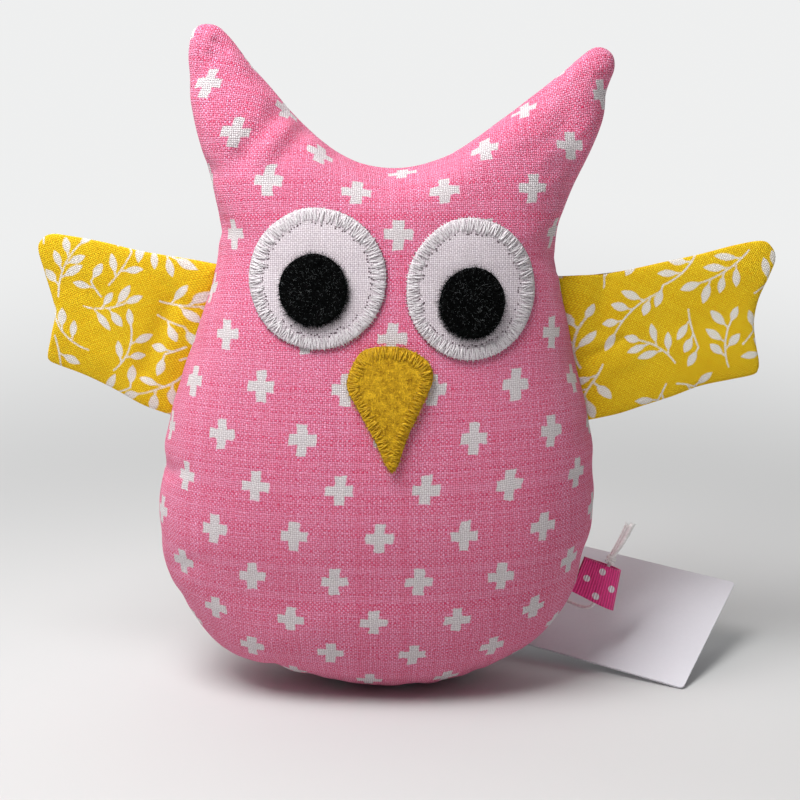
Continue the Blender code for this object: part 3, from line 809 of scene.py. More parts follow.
def crosses_group():
    """Printed crosses in staggered rows."""
    group, given, result = start_group(
        "scattered_crosses",
        (("Place", "NodeSocketVector", None), ("Across", "NodeSocketFloat", CROSS_ACROSS),
         ("Down", "NodeSocketFloat", CROSS_DOWN)),
        (("Mask", "NodeSocketFloat"),))
    place = given["Place"]
    for scale, detail, reach in ((900.0, 2.0, CROSS_ROUGHNESS), (260.0, 1.0, CROSS_SWELL)):
        shaken = add_noise(group, given["Place"], scale, detail)["Color"]
        push = vector_reckon(group, "MULTIPLY_ADD", shaken, (reach, reach, 0), (-reach / 2, -reach / 2, 0))
        place = vector_reckon(group, "ADD", place, push)
    split = add_node(group, "ShaderNodeSeparateXYZ", [place])
    half_across = reckon(group, "MULTIPLY", given["Across"], 0.5)
    half_down = reckon(group, "MULTIPLY", given["Down"], 0.5)

    def from_middle(place, half, shift):
        """Return how far a place lies from the nearest middle of a cross."""
        moved = reckon(group, "ADD", place, reckon(group, "MULTIPLY", half, shift))
        below = reckon(group, "MULTIPLY", half, -1.0)
        return reckon(group, "ABSOLUTE", reckon(group, "WRAP", moved, half, below))

    def outside(x, y, wide, tall):
        """Return how far a place lies outside one bar of a cross."""
        aside = reckon(group, "SUBTRACT", x, wide / 2)
        above = reckon(group, "SUBTRACT", y, tall / 2)
        return reckon(group, "MAXIMUM", aside, above)

    edges = []
    for shift in (0.0, 1.0):
        x = from_middle(split.outputs["X"], half_across, shift)
        y = from_middle(split.outputs["Y"], half_down, shift)
        bar = outside(x, y, CROSS_WIDE, CROSS_ARM)
        post = outside(x, y, CROSS_ARM, CROSS_TALL)
        edges.append(reckon(group, "MINIMUM", bar, post))
    nearest = reckon(group, "MINIMUM", *edges)
    group.links.new(ramp_between(group, nearest, -CROSS_EDGE, CROSS_EDGE, 1.0, 0.0), result["Mask"])
    return group


def start_material(name, roughness, sheen=0.0, sheen_roughness=0.5, specular=0.3):
    """Start a material whose shader has its fixed values."""
    material = bpy.data.materials.new(name)
    material.use_nodes = True
    shader = material.node_tree.nodes["Principled BSDF"]
    shader.inputs["Roughness"].default_value = roughness
    shader.inputs["Sheen Weight"].default_value = sheen
    shader.inputs["Sheen Roughness"].default_value = sheen_roughness
    shader.inputs["Specular IOR Level"].default_value = specular
    return material, material.node_tree, shader


def cloth_place(tree, name="cut"):
    """Return the places on the flat cloth that a piece was cut from."""
    return add_node(tree, "ShaderNodeUVMap", uv_map=name).outputs["UV"]


def add_bump(tree, shader, height, distance):
    """Lead a height, which is a share of a distance in metres, to the shader's normal."""
    bump = add_node(tree, "ShaderNodeBump", {"Height": height, "Distance": distance, "Strength": 1.0})
    tree.links.new(bump.outputs["Normal"], shader.inputs["Normal"])


def use_group(tree, group, **values):
    """Place a node group with its own values."""
    made = tree.nodes.new("ShaderNodeGroup")
    made.node_tree = group
    for socket, value in values.items():
        if isinstance(value, bpy.types.NodeSocket):
            tree.links.new(value, made.inputs[socket])
        else:
            made.inputs[socket].default_value = value
    return made.outputs


def shaded_cloth(tree, weave, colour, shades):
    """Return a cloth colour that differs from thread to thread, darkened in the gaps between threads by
    painted shade.
    """
    darkest, lightest, between = shades
    toned = mix_colours(tree, weave["Tone"], darkest, lightest)
    tinted = mix_colours(tree, 1.0, colour, toned, "MULTIPLY")
    # Painted shade: the colour is darkened in the gaps between threads
    painted_gap_shade = reckon(tree, "MULTIPLY", weave["Gap"], GAP_SHADE)
    deep = mix_colours(tree, 1.0, tinted, between, "MULTIPLY")
    return mix_colours(tree, painted_gap_shade, tinted, deep)


def pink_cotton_material(weave_group, cross_group):
    """Pink quilting cotton printed with white crosses."""
    material, tree, shader = start_material("pink_cross_cotton", 0.9, 0.08, 0.45, 0.12)
    place = cloth_place(tree)
    weave = use_group(tree, weave_group, Place=place, Thread=PINK_THREAD, Waver=PINK_WAVER)
    crosses = use_group(tree, cross_group, Place=cloth_place(tree, "print"))
    pink = mix_colours(tree, add_noise(tree, place, 28.0, 3.0)["Fac"], *PINK_DYES)
    dyed = shaded_cloth(tree, weave, pink, PINK_SHADES)
    printed = shaded_cloth(tree, weave, CROSS_INK, CROSS_SHADES)
    tree.links.new(mix_colours(tree, crosses["Mask"], dyed, printed), shader.inputs["Base Color"])
    add_bump(tree, shader, weave["Height"], PINK_RELIEF)
    return material


def white_cotton_material(weave_group):
    """Plain white cotton of the eyes."""
    material, tree, shader = start_material("white_eye_cotton", 0.9, 0.08, 0.5, 0.15)
    weave = use_group(tree, weave_group, Place=cloth_place(tree), Thread=WHITE_THREAD, Waver=PLAIN_WAVER)
    tree.links.new(shaded_cloth(tree, weave, EYE_WHITE, EYE_WHITE_SHADES), shader.inputs["Base Color"])
    add_bump(tree, shader, weave["Height"], PLAIN_RELIEF)
    return material


def yellow_cotton_material(weave_group):
    """Yellow cotton printed with white sprigs, drawn by distance from them."""
    material, tree, shader = start_material("yellow_sprig_cotton", 0.9, 0.06, 0.5, 0.12)
    place = cloth_place(tree)
    weave = use_group(tree, weave_group, Place=place, Thread=YELLOW_THREAD, Waver=PLAIN_WAVER)
    print_away = add_node(tree, "ShaderNodeAttribute", attribute_name="sprig_distance").outputs["Fac"]
    rough = add_noise(tree, place, 1500.0, 2.0)["Fac"]
    push = reckon(tree, "MULTIPLY_ADD", rough, LEAF_ROUGHNESS, -LEAF_ROUGHNESS / 2)
    mask = ramp_between(tree, reckon(tree, "ADD", print_away, push), *LEAF_EDGE, 1.0, 0.0)
    yellow = mix_colours(tree, add_noise(tree, place, 60.0, 3.0)["Fac"], *YELLOW_DYES)
    dyed = shaded_cloth(tree, weave, yellow, YELLOW_SHADES)
    printed = shaded_cloth(tree, weave, LEAF_INK, LEAF_SHADES)
    tree.links.new(mix_colours(tree, mask, dyed, printed), shader.inputs["Base Color"])
    add_bump(tree, shader, weave["Height"], PLAIN_RELIEF)
    return material


def felt_material(felt, name, dark, light, sheen, gloss, fibre):
    """Wool felt of one colour."""
    material, tree, shader = start_material(name, 0.95, sheen, 0.6, gloss)
    fibres = use_group(tree, felt, Place=cloth_place(tree), Fibre=fibre)
    part = ramp_between(tree, fibres["Tone"], *FELT_TONES)
    tree.links.new(mix_colours(tree, part, dark, light), shader.inputs["Base Color"])
    add_bump(tree, shader, fibres["Height"], FELT_RELIEF)
    return material


def object_place(tree):
    """Return the places on a piece in its own axes."""
    return add_node(tree, "ShaderNodeTexCoord").outputs["Object"]


def thread_material(name, dark, light, sheen, gloss):
    """Sewing thread with a little lustre and uneven tone."""
    material, tree, shader = start_material(name, 0.6, sheen, 0.4, gloss)
    tone = add_noise(tree, object_place(tree), 1400.0, 2.0)["Fac"]
    part = ramp_between(tree, tone, *THREAD_TONES)
    tree.links.new(mix_colours(tree, part, dark, light), shader.inputs["Base Color"])
    add_bump(tree, shader, tone, THREAD_RELIEF)
    return material


def fibrefill_material():
    """Loose white polyester fibre."""
    material, tree, shader = start_material("white_fibrefill", 1.0, 0.3, 0.6, 0.1)
    tufts = add_noise(tree, object_place(tree), 350.0, 5.0, 2.0)["Fac"]
    tree.links.new(mix_colours(tree, tufts, *FIBREFILL_WHITES), shader.inputs["Base Color"])
    add_bump(tree, shader, tufts, FIBREFILL_RELIEF)
    return material


def ribbon_material():
    """Ribbed pink ribbon with small white dots in staggered rows, painted darker in the troughs of its ribs
    and lighter on their crests.
    """
    material, tree, shader = start_material("pink_dotted_ribbon", 0.55, 0.2, 0.4, 0.4)
    place = cloth_place(tree)
    split = add_node(tree, "ShaderNodeSeparateXYZ", [place])
    ribs = reckon(tree, "SINE", reckon(tree, "MULTIPLY", split.outputs["X"], 2 * math.pi / RIBBON_RIB))
    rib_height = reckon(tree, "MULTIPLY_ADD", ribs, 0.5, 0.5)
    dots = []
    for shift in (0.0, 1.0):
        squares = []
        for axis, pitch in (("X", DOT_ALONG), ("Y", DOT_ASIDE)):
            moved = reckon(tree, "ADD", split.outputs[axis], pitch / 2 * shift)
            away = reckon(tree, "WRAP", moved, pitch / 2, -pitch / 2)
            squares.append(reckon(tree, "MULTIPLY", away, away))
        dots.append(reckon(tree, "SQRT", reckon(tree, "ADD", *squares)))
    nearest = reckon(tree, "MINIMUM", *dots)
    mask = ramp_between(tree, nearest, DOT_REACH - DOT_EDGE, DOT_REACH + DOT_EDGE, 1.0, 0.0)
    pink = mix_colours(tree, add_noise(tree, place, 1800.0, 2.0)["Fac"], *RIBBON_DYES)
    colour = mix_colours(tree, mask, pink, DOT_INK)
    # Painted shade in the troughs between ribs and painted light on their crests
    shade = mix_colours(tree, rib_height, *RIBBON_SHADES)
    tree.links.new(mix_colours(tree, 1.0, colour, shade, "MULTIPLY"), shader.inputs["Base Color"])
    add_bump(tree, shader, rib_height, RIBBON_RELIEF)
    return material


def paper_material():
    """Smooth white card with faint fibres."""
    material, tree, shader = start_material("white_card", 0.55, 0.0, 0.5, 0.4)
    place = object_place(tree)
    fibres = add_noise(tree, place, 900.0, 4.0)["Fac"]
    cloud = reckon(tree, "MULTIPLY", add_noise(tree, place, 60.0, 2.0)["Fac"], 0.5)
    tone = reckon(tree, "MULTIPLY_ADD", fibres, 0.5, cloud)
    tree.links.new(mix_colours(tree, tone, *CARD_WHITES), shader.inputs["Base Color"])
    add_bump(tree, shader, fibres, CARD_RELIEF)
    return material


# Shaping cloth

def pillow_panel(name, ribs, rings, roundness, side):
    """Loft one face of a pillow from its edge to its spine, open at its edge."""
    soft = bmesh.new()
    loops = []
    for ring in range(rings):
        angle = ring / (rings - 1 / 2) * math.pi / 2
        reach = 1 - math.cos(angle) ** (2 / roundness)
        rise = math.sin(angle) ** (2 / roundness)
        loop = []
        for edge_x, edge_z, spine_x, spine_z, depth in ribs:
            x = edge_x + (spine_x - edge_x) * reach
            z = edge_z + (spine_z - edge_z) * reach
            loop.append(soft.verts.new((x, side * depth * rise, z)))
        loops.append(loop)
    count = len(ribs)
    for outer, inner in zip(loops, loops[1:]):
        for index in range(count):
            after = (index + 1) % count
            soft.faces.new((outer[index], outer[after], inner[after], inner[index]))
    last = loops[-1]
    spine_edges = [soft.edges.get((last[index], last[(index + 1) % count])) for index in range(count)]
    bmesh.ops.triangle_fill(soft, use_beauty=True, edges=spine_edges)
    bmesh.ops.recalc_face_normals(soft, faces=soft.faces)
    if sum(face.normal.y * face.calc_area() for face in soft.faces) * side < 0:
        bmesh.ops.reverse_faces(soft, faces=soft.faces)
    soft.verts.index_update()
    inner = np.zeros(len(soft.verts))
    for ring, loop in enumerate(loops):
        for vertex in loop:
            inner[vertex.index] = ring / (rings - 1)
    return finish_mesh(soft, name), inner


def soften_spine(mesh, inner):
    """Round off the line where a panel's ribs crowd together."""
    places = vertex_places(mesh)
    part = fade(inner, SPINE_SOFT_START, SPINE_SOFT_END)[:, None]
    set_places(mesh, places + (evened(mesh, places, SPINE_SOFT_ROUNDS) - places) * part)


def add_piece(name, mesh, material):
    """Link a mesh as a named piece with its material."""
    mesh.shade_smooth()
    mesh.materials.clear()
    mesh.materials.append(material)
    piece = add_object(name, mesh)
    return piece


def store_map(mesh, name, places):
    """Keep a pair of numbers for each face corner as a named map."""
    layer = mesh.uv_layers.get(name) or mesh.uv_layers.new(name=name, do_init=False)
    layer.uv.foreach_set("vector", np.asarray(places, np.float32).ravel())


def map_places(mesh, name):
    """Return a named map's pair of numbers for each face corner."""
    places = np.empty(len(mesh.loops) * 2, np.float32)
    mesh.uv_layers[name].uv.foreach_get("vector", places)
    return places.reshape(-1, 2)


def corner_vertices(mesh):
    """Return the vertex index of each face corner."""
    corners = np.empty(len(mesh.loops), int)
    mesh.loops.foreach_get("vertex_index", corners)
    return corners


def turn_matrix(turn):
    """Return the matrix that turns flat places by an angle."""
    return np.array([[math.cos(turn), -math.sin(turn)], [math.sin(turn), math.cos(turn)]])


def cross_places(flat):
    """Return where places on the cut cloth lie in the printed rows of crosses."""
    across, up = flat.T * 1000
    up = up - LEFT_EAR_LIFT_MM * fade(up, *LEFT_EAR_HEIGHTS_MM) * fade(-across, *LEFT_EAR_ASIDE_MM)
    row = np.interp(up, CROSS_ROWS_MM, range(-1, len(CROSS_ROWS_MM) - 1))
    pitch = np.interp(up, *zip(*CROSS_PITCHES_MM))
    column = np.interp(up, *zip(*CROSS_COLUMN_MM))
    return np.stack([(across - column) / pitch * CROSS_ACROSS, row * CROSS_DOWN / 2], 1)


def lay_flat(mesh, mirrored):
    """Flatten a panel into the cloth it was cut from, upright and to scale."""
    holder = add_object("flattening", mesh)
    bpy.context.view_layer.objects.active = holder
    holder.select_set(True)
    bpy.ops.object.mode_set(mode="EDIT")
    bpy.ops.mesh.select_all(action="SELECT")
    bpy.ops.uv.unwrap(method="MINIMUM_STRETCH", fill_holes=True, iterations=20)
    bpy.ops.object.mode_set(mode="OBJECT")
    made = mesh.uv_layers.active
    flat = map_places(mesh, made.name).astype(float)
    mesh.uv_layers.remove(made)
    corners = corner_vertices(mesh)
    places = vertex_places(mesh)[corners][:, [0, 2]]
    if mirrored:
        places[:, 0] *= -1
    middle = places.mean(0)
    from_middle = places - middle
    flat = flat - flat.mean(0)
    cross = (flat[:, 0] * from_middle[:, 1] - flat[:, 1] * from_middle[:, 0]).sum()
    dot = (flat * from_middle).sum()
    turn = math.atan2(cross, dot)
    spin = turn_matrix(turn)
    flat_area = 0.0
    for face in mesh.polygons:
        points = flat[list(face.loop_indices)]
        ahead = np.roll(points, -1, axis=0)
        flat_area += abs((points[:, 0] * ahead[:, 1] - points[:, 1] * ahead[:, 0]).sum()) / 2
    solid_area = sum(face.area for face in mesh.polygons)
    flat = flat @ spin.T * math.sqrt(solid_area / flat_area) + middle
    store_map(mesh, "cut", flat)
    store_map(mesh, "print", cross_places(flat))
    bpy.data.objects.remove(holder)


def store_bake_map(mesh):
    """Copy the cut cloth's map, stretched to fill a square, for baked textures."""
    flat = map_places(mesh, "cut")
    low = flat.min(0)
    span = np.ptp(flat, axis=0)
    store_map(mesh, "OFBake", BAKE_MARGIN + (1 - 2 * BAKE_MARGIN) * (flat - low) / span)


def body_ribs(half_depth):
    """Return the body's ribs, a few to each point of the side seam."""
    rows = []
    for shares, station in SEAM_SHARES:
        across, up, depth_share = SPINE_SHARES[station]
        rows.append((*seam_place(shares), *seam_place((across, up)), depth_share * half_depth))
    return smooth_rows(rows, RIB_STEPS, True)


def sew_shell():
    """Cut and flatten both panels, and sew them into one shell."""
    soft = bmesh.new()
    for index, (side, depth) in enumerate(((-1, FRONT_DEPTH), (1, BACK_DEPTH))):
        mesh, inner = pillow_panel("panel", body_ribs(depth), BODY_RINGS, BODY_ROUND_RATIO, side)
        soften_spine(mesh, inner)
        lay_flat(mesh, side > 0)
        for face in mesh.polygons:
            face.material_index = index
        soft.from_mesh(mesh)
        bpy.data.meshes.remove(mesh)
    bmesh.ops.remove_doubles(soft, verts=soft.verts, dist=MERGE_REACH)
    return add_object("body_shell", finish_mesh(soft, "body_shell"))


def evened(mesh, values, rounds):
    """Even out values over a mesh, a little with each round."""
    ends = np.empty(len(mesh.edges) * 2, int)
    mesh.edges.foreach_get("vertices", ends)
    first, second = ends.reshape(-1, 2).T
    count = len(mesh.vertices)
    met = np.bincount(first, minlength=count) + np.bincount(second, minlength=count)
    values = values.copy()
    for _ in range(rounds):
        for axis in range(values.shape[1]):
            total = (np.bincount(first, values[second, axis], count)
                     + np.bincount(second, values[first, axis], count))
            values[:, axis] = (values[:, axis] + total / met) / 2
    return values


def stuff_shell(shell):
    """Stuff the sewn shell by cloth simulation, and keep its creases.

    The simulation draws the seam tight and swells the cloth. The broad swell
    is taken off again, so that the owl keeps the outline it was cut to.
    """
    mesh = shell.data
    rest = vertex_places(mesh)
    tight = 1 - fade(np.abs(rest[:, 1]), 0, SEAM_REACH)
    group = shell.vertex_groups.new(name="seam")
    for index in np.nonzero(tight > LEAST_PULL)[0]:
        group.add([int(index)], float(tight[index]), "REPLACE")
    set_places(mesh, rest * WORKSHOP_SCALE)
    cloth = shell.modifiers.new("Stuffing", "CLOTH")
    for setting, value in CLOTH_SETTINGS.items():
        setattr(cloth.settings, setting, value)
    cloth.settings.effector_weights.gravity = 0
    cloth.collision_settings.use_collision = False
    cloth.collision_settings.use_self_collision = False
    cloth.point_cache.frame_start = 1
    cloth.point_cache.frame_end = CLOTH_FRAMES
    scene = bpy.context.scene
    for step in range(1, CLOTH_FRAMES + 1):
        scene.frame_set(step)
    graph = bpy.context.evaluated_depsgraph_get()
    swollen = shell.evaluated_get(graph).to_mesh()
    places = vertex_places(swollen) / WORKSHOP_SCALE
    shell.evaluated_get(graph).to_mesh_clear()
    shell.modifiers.remove(cloth)
    scene.frame_set(1)
    moved = places - rest
    creases = evened(mesh, moved, SETTLING_ROUNDS) - evened(mesh, moved, EVENING_ROUNDS)
    lengths = np.linalg.norm(creases, axis=1)
    capped = MOST_CREASE * np.tanh(lengths / MOST_CREASE) / np.maximum(lengths, 1e-9)
    near_seam = 1 - fade(np.abs(rest[:, 1]), CREASE_START, CREASE_END)
    below_tips = 1 - fade(rest[:, 2], EAR_CALM_START, EAR_CALM_END)
    set_places(mesh, rest + creases * (capped * near_seam * below_tips)[:, None])


def fold_depths(flat, folds):
    """Return how deep soft folds press at places seen from the front."""
    total = np.zeros(len(flat))
    for start_x, start_z, end_x, end_z, depth, reach in folds:
        start = np.array([start_x, start_z]) / 1000
        run = np.array([end_x, end_z]) / 1000 - start
        away = flat - start
        along = away @ run / (run @ run)
        distance = np.linalg.norm(away - np.clip(along, 0, 1)[:, None] * run, axis=1)
        total += depth / 1000 * np.exp(-(distance / (reach / 1000)) ** 2)
    return total


def press_folds(mesh):
    """Press the seen folds into the front of the shell."""
    places = vertex_places(mesh)
    press = fold_depths(places[:, [0, 2]], FOLDS_MM) * (places[:, 1] < 0)
    set_places(mesh, places - vertex_normals(mesh) * press[:, None])


def press_base(mesh):
    """Press the underside flat on the floor."""
    places = vertex_places(mesh)
    places[:, 2] = np.maximum(places[:, 2], 0)
    set_places(mesh, places)


def part_seam(mesh, side):
    """Part the side seam a little where each wing is sewn in."""
    places = vertex_places(mesh)
    for low_shares, high_shares in ((LEFT_ROOT_LOW_SHARES, LEFT_ROOT_HIGH_SHARES),
                                    (RIGHT_ROOT_LOW_SHARES, RIGHT_ROOT_HIGH_SHARES)):
        low = np.array(seam_place(low_shares))
        run = np.array(seam_place(high_shares)) - low
        height = np.linalg.norm(run)
        away = places[:, [0, 2]] - low
        up = away @ run / height
        aside = np.abs(away[:, 0] * run[1] - away[:, 1] * run[0]) / height
        span = fade(up, -SLIT_RUN, SLIT_RUN / 2) * (1 - fade(up, height - SLIT_RUN / 2, height + SLIT_RUN))
        places[:, 1] += side * SLIT_OPENING * span * (1 - fade(aside, SLIT_START, SLIT_END))
    set_places(mesh, places)


def seam_places(mesh):
    """Return the places along a panel's open edge."""
    soft = bmesh.new()
    soft.from_mesh(mesh)
    places = [tuple(vertex.co) for vertex in soft.verts if vertex.is_boundary]
    soft.free()
    return np.array(places)


def cut_panel(shell, name, index, material):
    """Take one panel off the sewn shell as a piece of its own."""
    soft = bmesh.new()
    soft.from_mesh(shell.data)
    others = [face for face in soft.faces if face.material_index != index]
    bmesh.ops.delete(soft, geom=others, context="FACES")
    for face in soft.faces:
        face.material_index = 0
    mesh = finish_mesh(soft, name)
    store_bake_map(mesh)
    part_seam(mesh, 1 if index else -1)
    panel = add_piece(name, mesh, material)
    smooth = panel.modifiers.new("Smooth cloth", "SUBSURF")
    smooth.levels = 1
    smooth.render_levels = 1
    thick = panel.modifiers.new("Cloth thickness", "SOLIDIFY")
    thick.thickness = CLOTH_THICKNESS
    thick.offset = -1
    return panel


def make_body(pink, fill):
    """Make the stuffed body: two panels and the stuffing."""
    shell = sew_shell()
    stuff_shell(shell)
    press_folds(shell.data)
    press_base(shell.data)
    front = cut_panel(shell, "front_panel_cloth", 0, pink)
    back = cut_panel(shell, "back_panel_cloth", 1, pink)
    core = shell.data.copy()
    core.name = "stuffing_fill"
    core.shade_smooth()
    set_places(core, vertex_places(core) - vertex_normals(core) * STUFFING_INSET)
    stuffing = add_piece("stuffing_fill", core, fill)
    for layer in list(core.uv_layers):
        core.uv_layers.remove(layer)
    bpy.data.objects.remove(shell)
    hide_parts("front_panel")
    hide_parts("back_panel")
    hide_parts("stuffing")
    for piece in (front, back, stuffing):
        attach(piece, "body")
    return front, seam_places(front.data)


# Laid patches and stitches

def ellipse_outline(size, count):
    """Return the points of an ellipse about the origin."""
    turns = [2 * math.pi * index / count for index in range(count)]
    return [(math.cos(turn) * size[0] / 2, math.sin(turn) * size[1] / 2) for turn in turns]


def uneven_outline(outline, amount, seed):
    """Make a hand-cut outline of a neat one."""
    result = []
    for x, z in outline:
        push = 1 + amount * noise.noise(Vector((x * WAVES_PER_METRE, z * WAVES_PER_METRE, seed)))
        result.append((x * push, z * push))
    return result


def crowded(share):
    """Return a ring's share of a patch's reach, with the rings crowded to its edge."""
    return 1 - (1 - share) ** RING_CROWDING


def lay_patch(name, outline, middle, under, thickness, puff, material, rings=PATCH_RINGS):
    """Lay a slightly domed patch of cloth on a surface, closed all round."""
    soft = bmesh.new()
    uv = soft.loops.layers.uv.new("cut")
    count = len(outline)
    sheets = []
    for lift in (EYE_LIFT, EYE_LIFT + thickness):
        rows = []
        for ring in range(1, rings + 1):
            share = crowded(ring / rings)
            row = []
            for x, z in outline:
                place, normal = touch_from_front(under, middle[0] + x * share, middle[1] + z * share)
                raised = lift + puff * (1 - share ** PUFF_FLATNESS)
                row.append(soft.verts.new(place + normal * raised))
            rows.append(row)
        place, normal = touch_from_front(under, *middle)
        rows.insert(0, [soft.verts.new(place + normal * (lift + puff))])
        sheets.append(rows)
    flat = {}
    for rows in sheets:
        for ring, row in enumerate(rows):
            share = crowded(ring / rings)
            for index, vertex in enumerate(row):
                x, z = outline[index] if ring else (0, 0)
                flat[vertex] = (x * share, z * share)
    for turned, rows in zip((True, False), sheets):
        for index in range(count):
            after = (index + 1) % count
            faces = [(rows[0][0], rows[1][index], rows[1][after])]
            for inner, outer in zip(rows[1:], rows[2:]):
                faces.append((inner[index], outer[index], outer[after], inner[after]))
            for corners in faces:
                soft.faces.new(corners[::-1] if turned else corners)
    under_edge, over_edge = sheets[0][-1], sheets[1][-1]
    for index in range(count):
        after = (index + 1) % count
        soft.faces.new((over_edge[index], under_edge[index], under_edge[after], over_edge[after]))
    bmesh.ops.recalc_face_normals(soft, faces=soft.faces)
    for face in soft.faces:
        for loop in face.loops:
            loop[uv].uv = flat[loop.vert]
    return add_piece(name, finish_mesh(soft, name), material)


def thread_tubes(name, lines, diameter, material, sides=THREAD_SIDES):
    """Make threads as one mesh of thin tubes along lines of places."""
    soft = bmesh.new()
    for line in lines:
        line = [Vector(point) for point in line]
        before = None
        side = None
        for index, point in enumerate(line):
            ahead = line[min(index + 1, len(line) - 1)] - line[max(index - 1, 0)]
            ahead.normalize()
            if side is None:
                side = ahead.orthogonal().normalized()
            side = (side - ahead * side.dot(ahead)).normalized()
            other = ahead.cross(side)
            ring = []
            for corner in range(sides):
                turn = 2 * math.pi * corner / sides
                out = side * math.cos(turn) + other * math.sin(turn)
                ring.append(soft.verts.new(point + out * diameter / 2))
            if before:
                for corner in range(sides):
                    after = (corner + 1) % sides
                    soft.faces.new((before[corner], before[after], ring[after], ring[corner]))
            else:
                soft.faces.new(ring[::-1])
            before = ring
        soft.faces.new(before)
    bmesh.ops.recalc_face_normals(soft, faces=soft.faces)
    return add_piece(name, finish_mesh(soft, name), material)


def zigzag_holes(outline, band, pitch, seed, overhang):
    """Return the needle holes of a hand-led zigzag over a patch's edge."""
    dice = random.Random(seed)
    edge = even_steps(outline, pitch)
    count = len(edge)
    ahead = np.roll(edge, -1, axis=0) - np.roll(edge, 1, axis=0)
    ahead /= np.linalg.norm(ahead, axis=1)[:, None]
    area = (edge[:, 0] * np.roll(edge[:, 1], -1) - edge[:, 1] * np.roll(edge[:, 0], -1)).sum()
    outward = np.stack([ahead[:, 1], -ahead[:, 0]], 1) * (1 if area > 0 else -1)
    holes = []
    for index in range(count + 1):
        drift = noise.noise(Vector((index * DRIFT_PER_STITCH, seed, 0)))
        bunch = BUNCH_SHARE * math.sin(index * BUNCH_TURN + 3 * drift)
        if index % 2:
            shift = overhang + OUTER_DRIFT * drift + dice.uniform(*OUTER_WANDER)
        else:
            shift = -band * (1 + INNER_DRIFT * drift) + dice.uniform(*INNER_WANDER)
            bunch *= BUNCH_BACK
        slide = (bunch + dice.uniform(-SLIDE_SHARE, SLIDE_SHARE)) * pitch
        spot = edge[index % count]
        holes.append(spot + outward[index % count] * shift + ahead[index % count] * slide)
    return holes


def zigzag_line(holes, middle, surface, seed):
    """Return the line of one thread led from needle hole to needle hole."""
    dice = random.Random(seed)
    line = []
    for index, (start, end) in enumerate(zip(holes, holes[1:])):
        height = THREAD_ARCH * dice.uniform(*ARCH_SHARES) * (1 + 0.5 * math.sin(index * BUNCH_TURN))
        for step in range(STITCH_STEPS):
            part = step / STITCH_STEPS
            flat = start + (end - start) * part
            place, normal = touch_from_front(surface, middle[0] + flat[0], middle[1] + flat[1])
            lift = SATIN_THREAD * THREAD_LIFT + height * math.sin(math.pi * part) ** STITCH_CROWN
            line.append(place + normal * lift)
    return line


def make_zigzag(name, outline, middle, band, pitch, surface, seed, overhang, thread, material):
    """Sew a zigzag round a patch, and return its piece and its inner holes."""
    holes = zigzag_holes(outline, band, pitch, seed, overhang)
    line = zigzag_line(holes, middle, surface, seed)
    return thread_tubes(name, [line], thread, material), holes[::2]


def paint_needle_hole_shade(name, holes, middle, surface, material, seed):
    """Paint shade into the needle holes at the inner side of a zigzag, as short dark tubes."""
    dice = random.Random(seed)
    lines = []
    for hole in holes:
        if dice.random() < NEEDLE_CHANCE:
            x, z = (centre + away * NEEDLE_INWARD for centre, away in zip(middle, hole))
            place, normal = touch_from_front(surface, x, z)
            lines.append([place - normal * NEEDLE_DEPTH, place + normal * NEEDLE_RISE])
    return thread_tubes(name, lines, NEEDLE_HOLE, material, NEEDLE_SIDES)


def random_way(dice):
    """Return a vector of three random numbers from -1 to 1."""
    return Vector([dice.uniform(-1, 1) for _ in range(3)])


def felt_fuzz(name, outline, middle, surface, fuzz, material, seed):
    """Scatter short loose fibres over felt and round its edge."""
    length, count, inside = fuzz
    dice = random.Random(seed)
    lines = []
    edge = even_steps(outline, FIBRE_SPACING)
    for _ in range(count):
        x, z = edge[dice.randrange(len(edge))]
        share = 1.0 if dice.random() > inside else math.sqrt(dice.random())
        spot = (middle[0] + x * share * FIBRE_EDGE, middle[1] + z * share * FIBRE_EDGE)
        place, normal = touch_from_front(surface, *spot)
        out = Vector((x, 0, z)).normalized()
        way = (out * dice.uniform(*FIBRE_OUT_SHARES) + normal * dice.uniform(*FIBRE_UP_SHARES)
               + Vector((dice.uniform(-1, 1), 0, dice.uniform(-1, 1))) * FIBRE_SCATTER).normalized()
        curl = random_way(dice) * FIBRE_CURL
        reach = length * dice.uniform(*FIBRE_LENGTH_SHARES)
        start = place - normal * FIBRE_ROOT
        line = []
        for step in range(FIBRE_STEPS + 1):
            part = step / FIBRE_STEPS
            line.append(start + way * reach * part + curl * reach * part * part)
        lines.append(line)
    return thread_tubes(name, lines, FIBRE_WIDTH, material, FIBRE_SIDES)


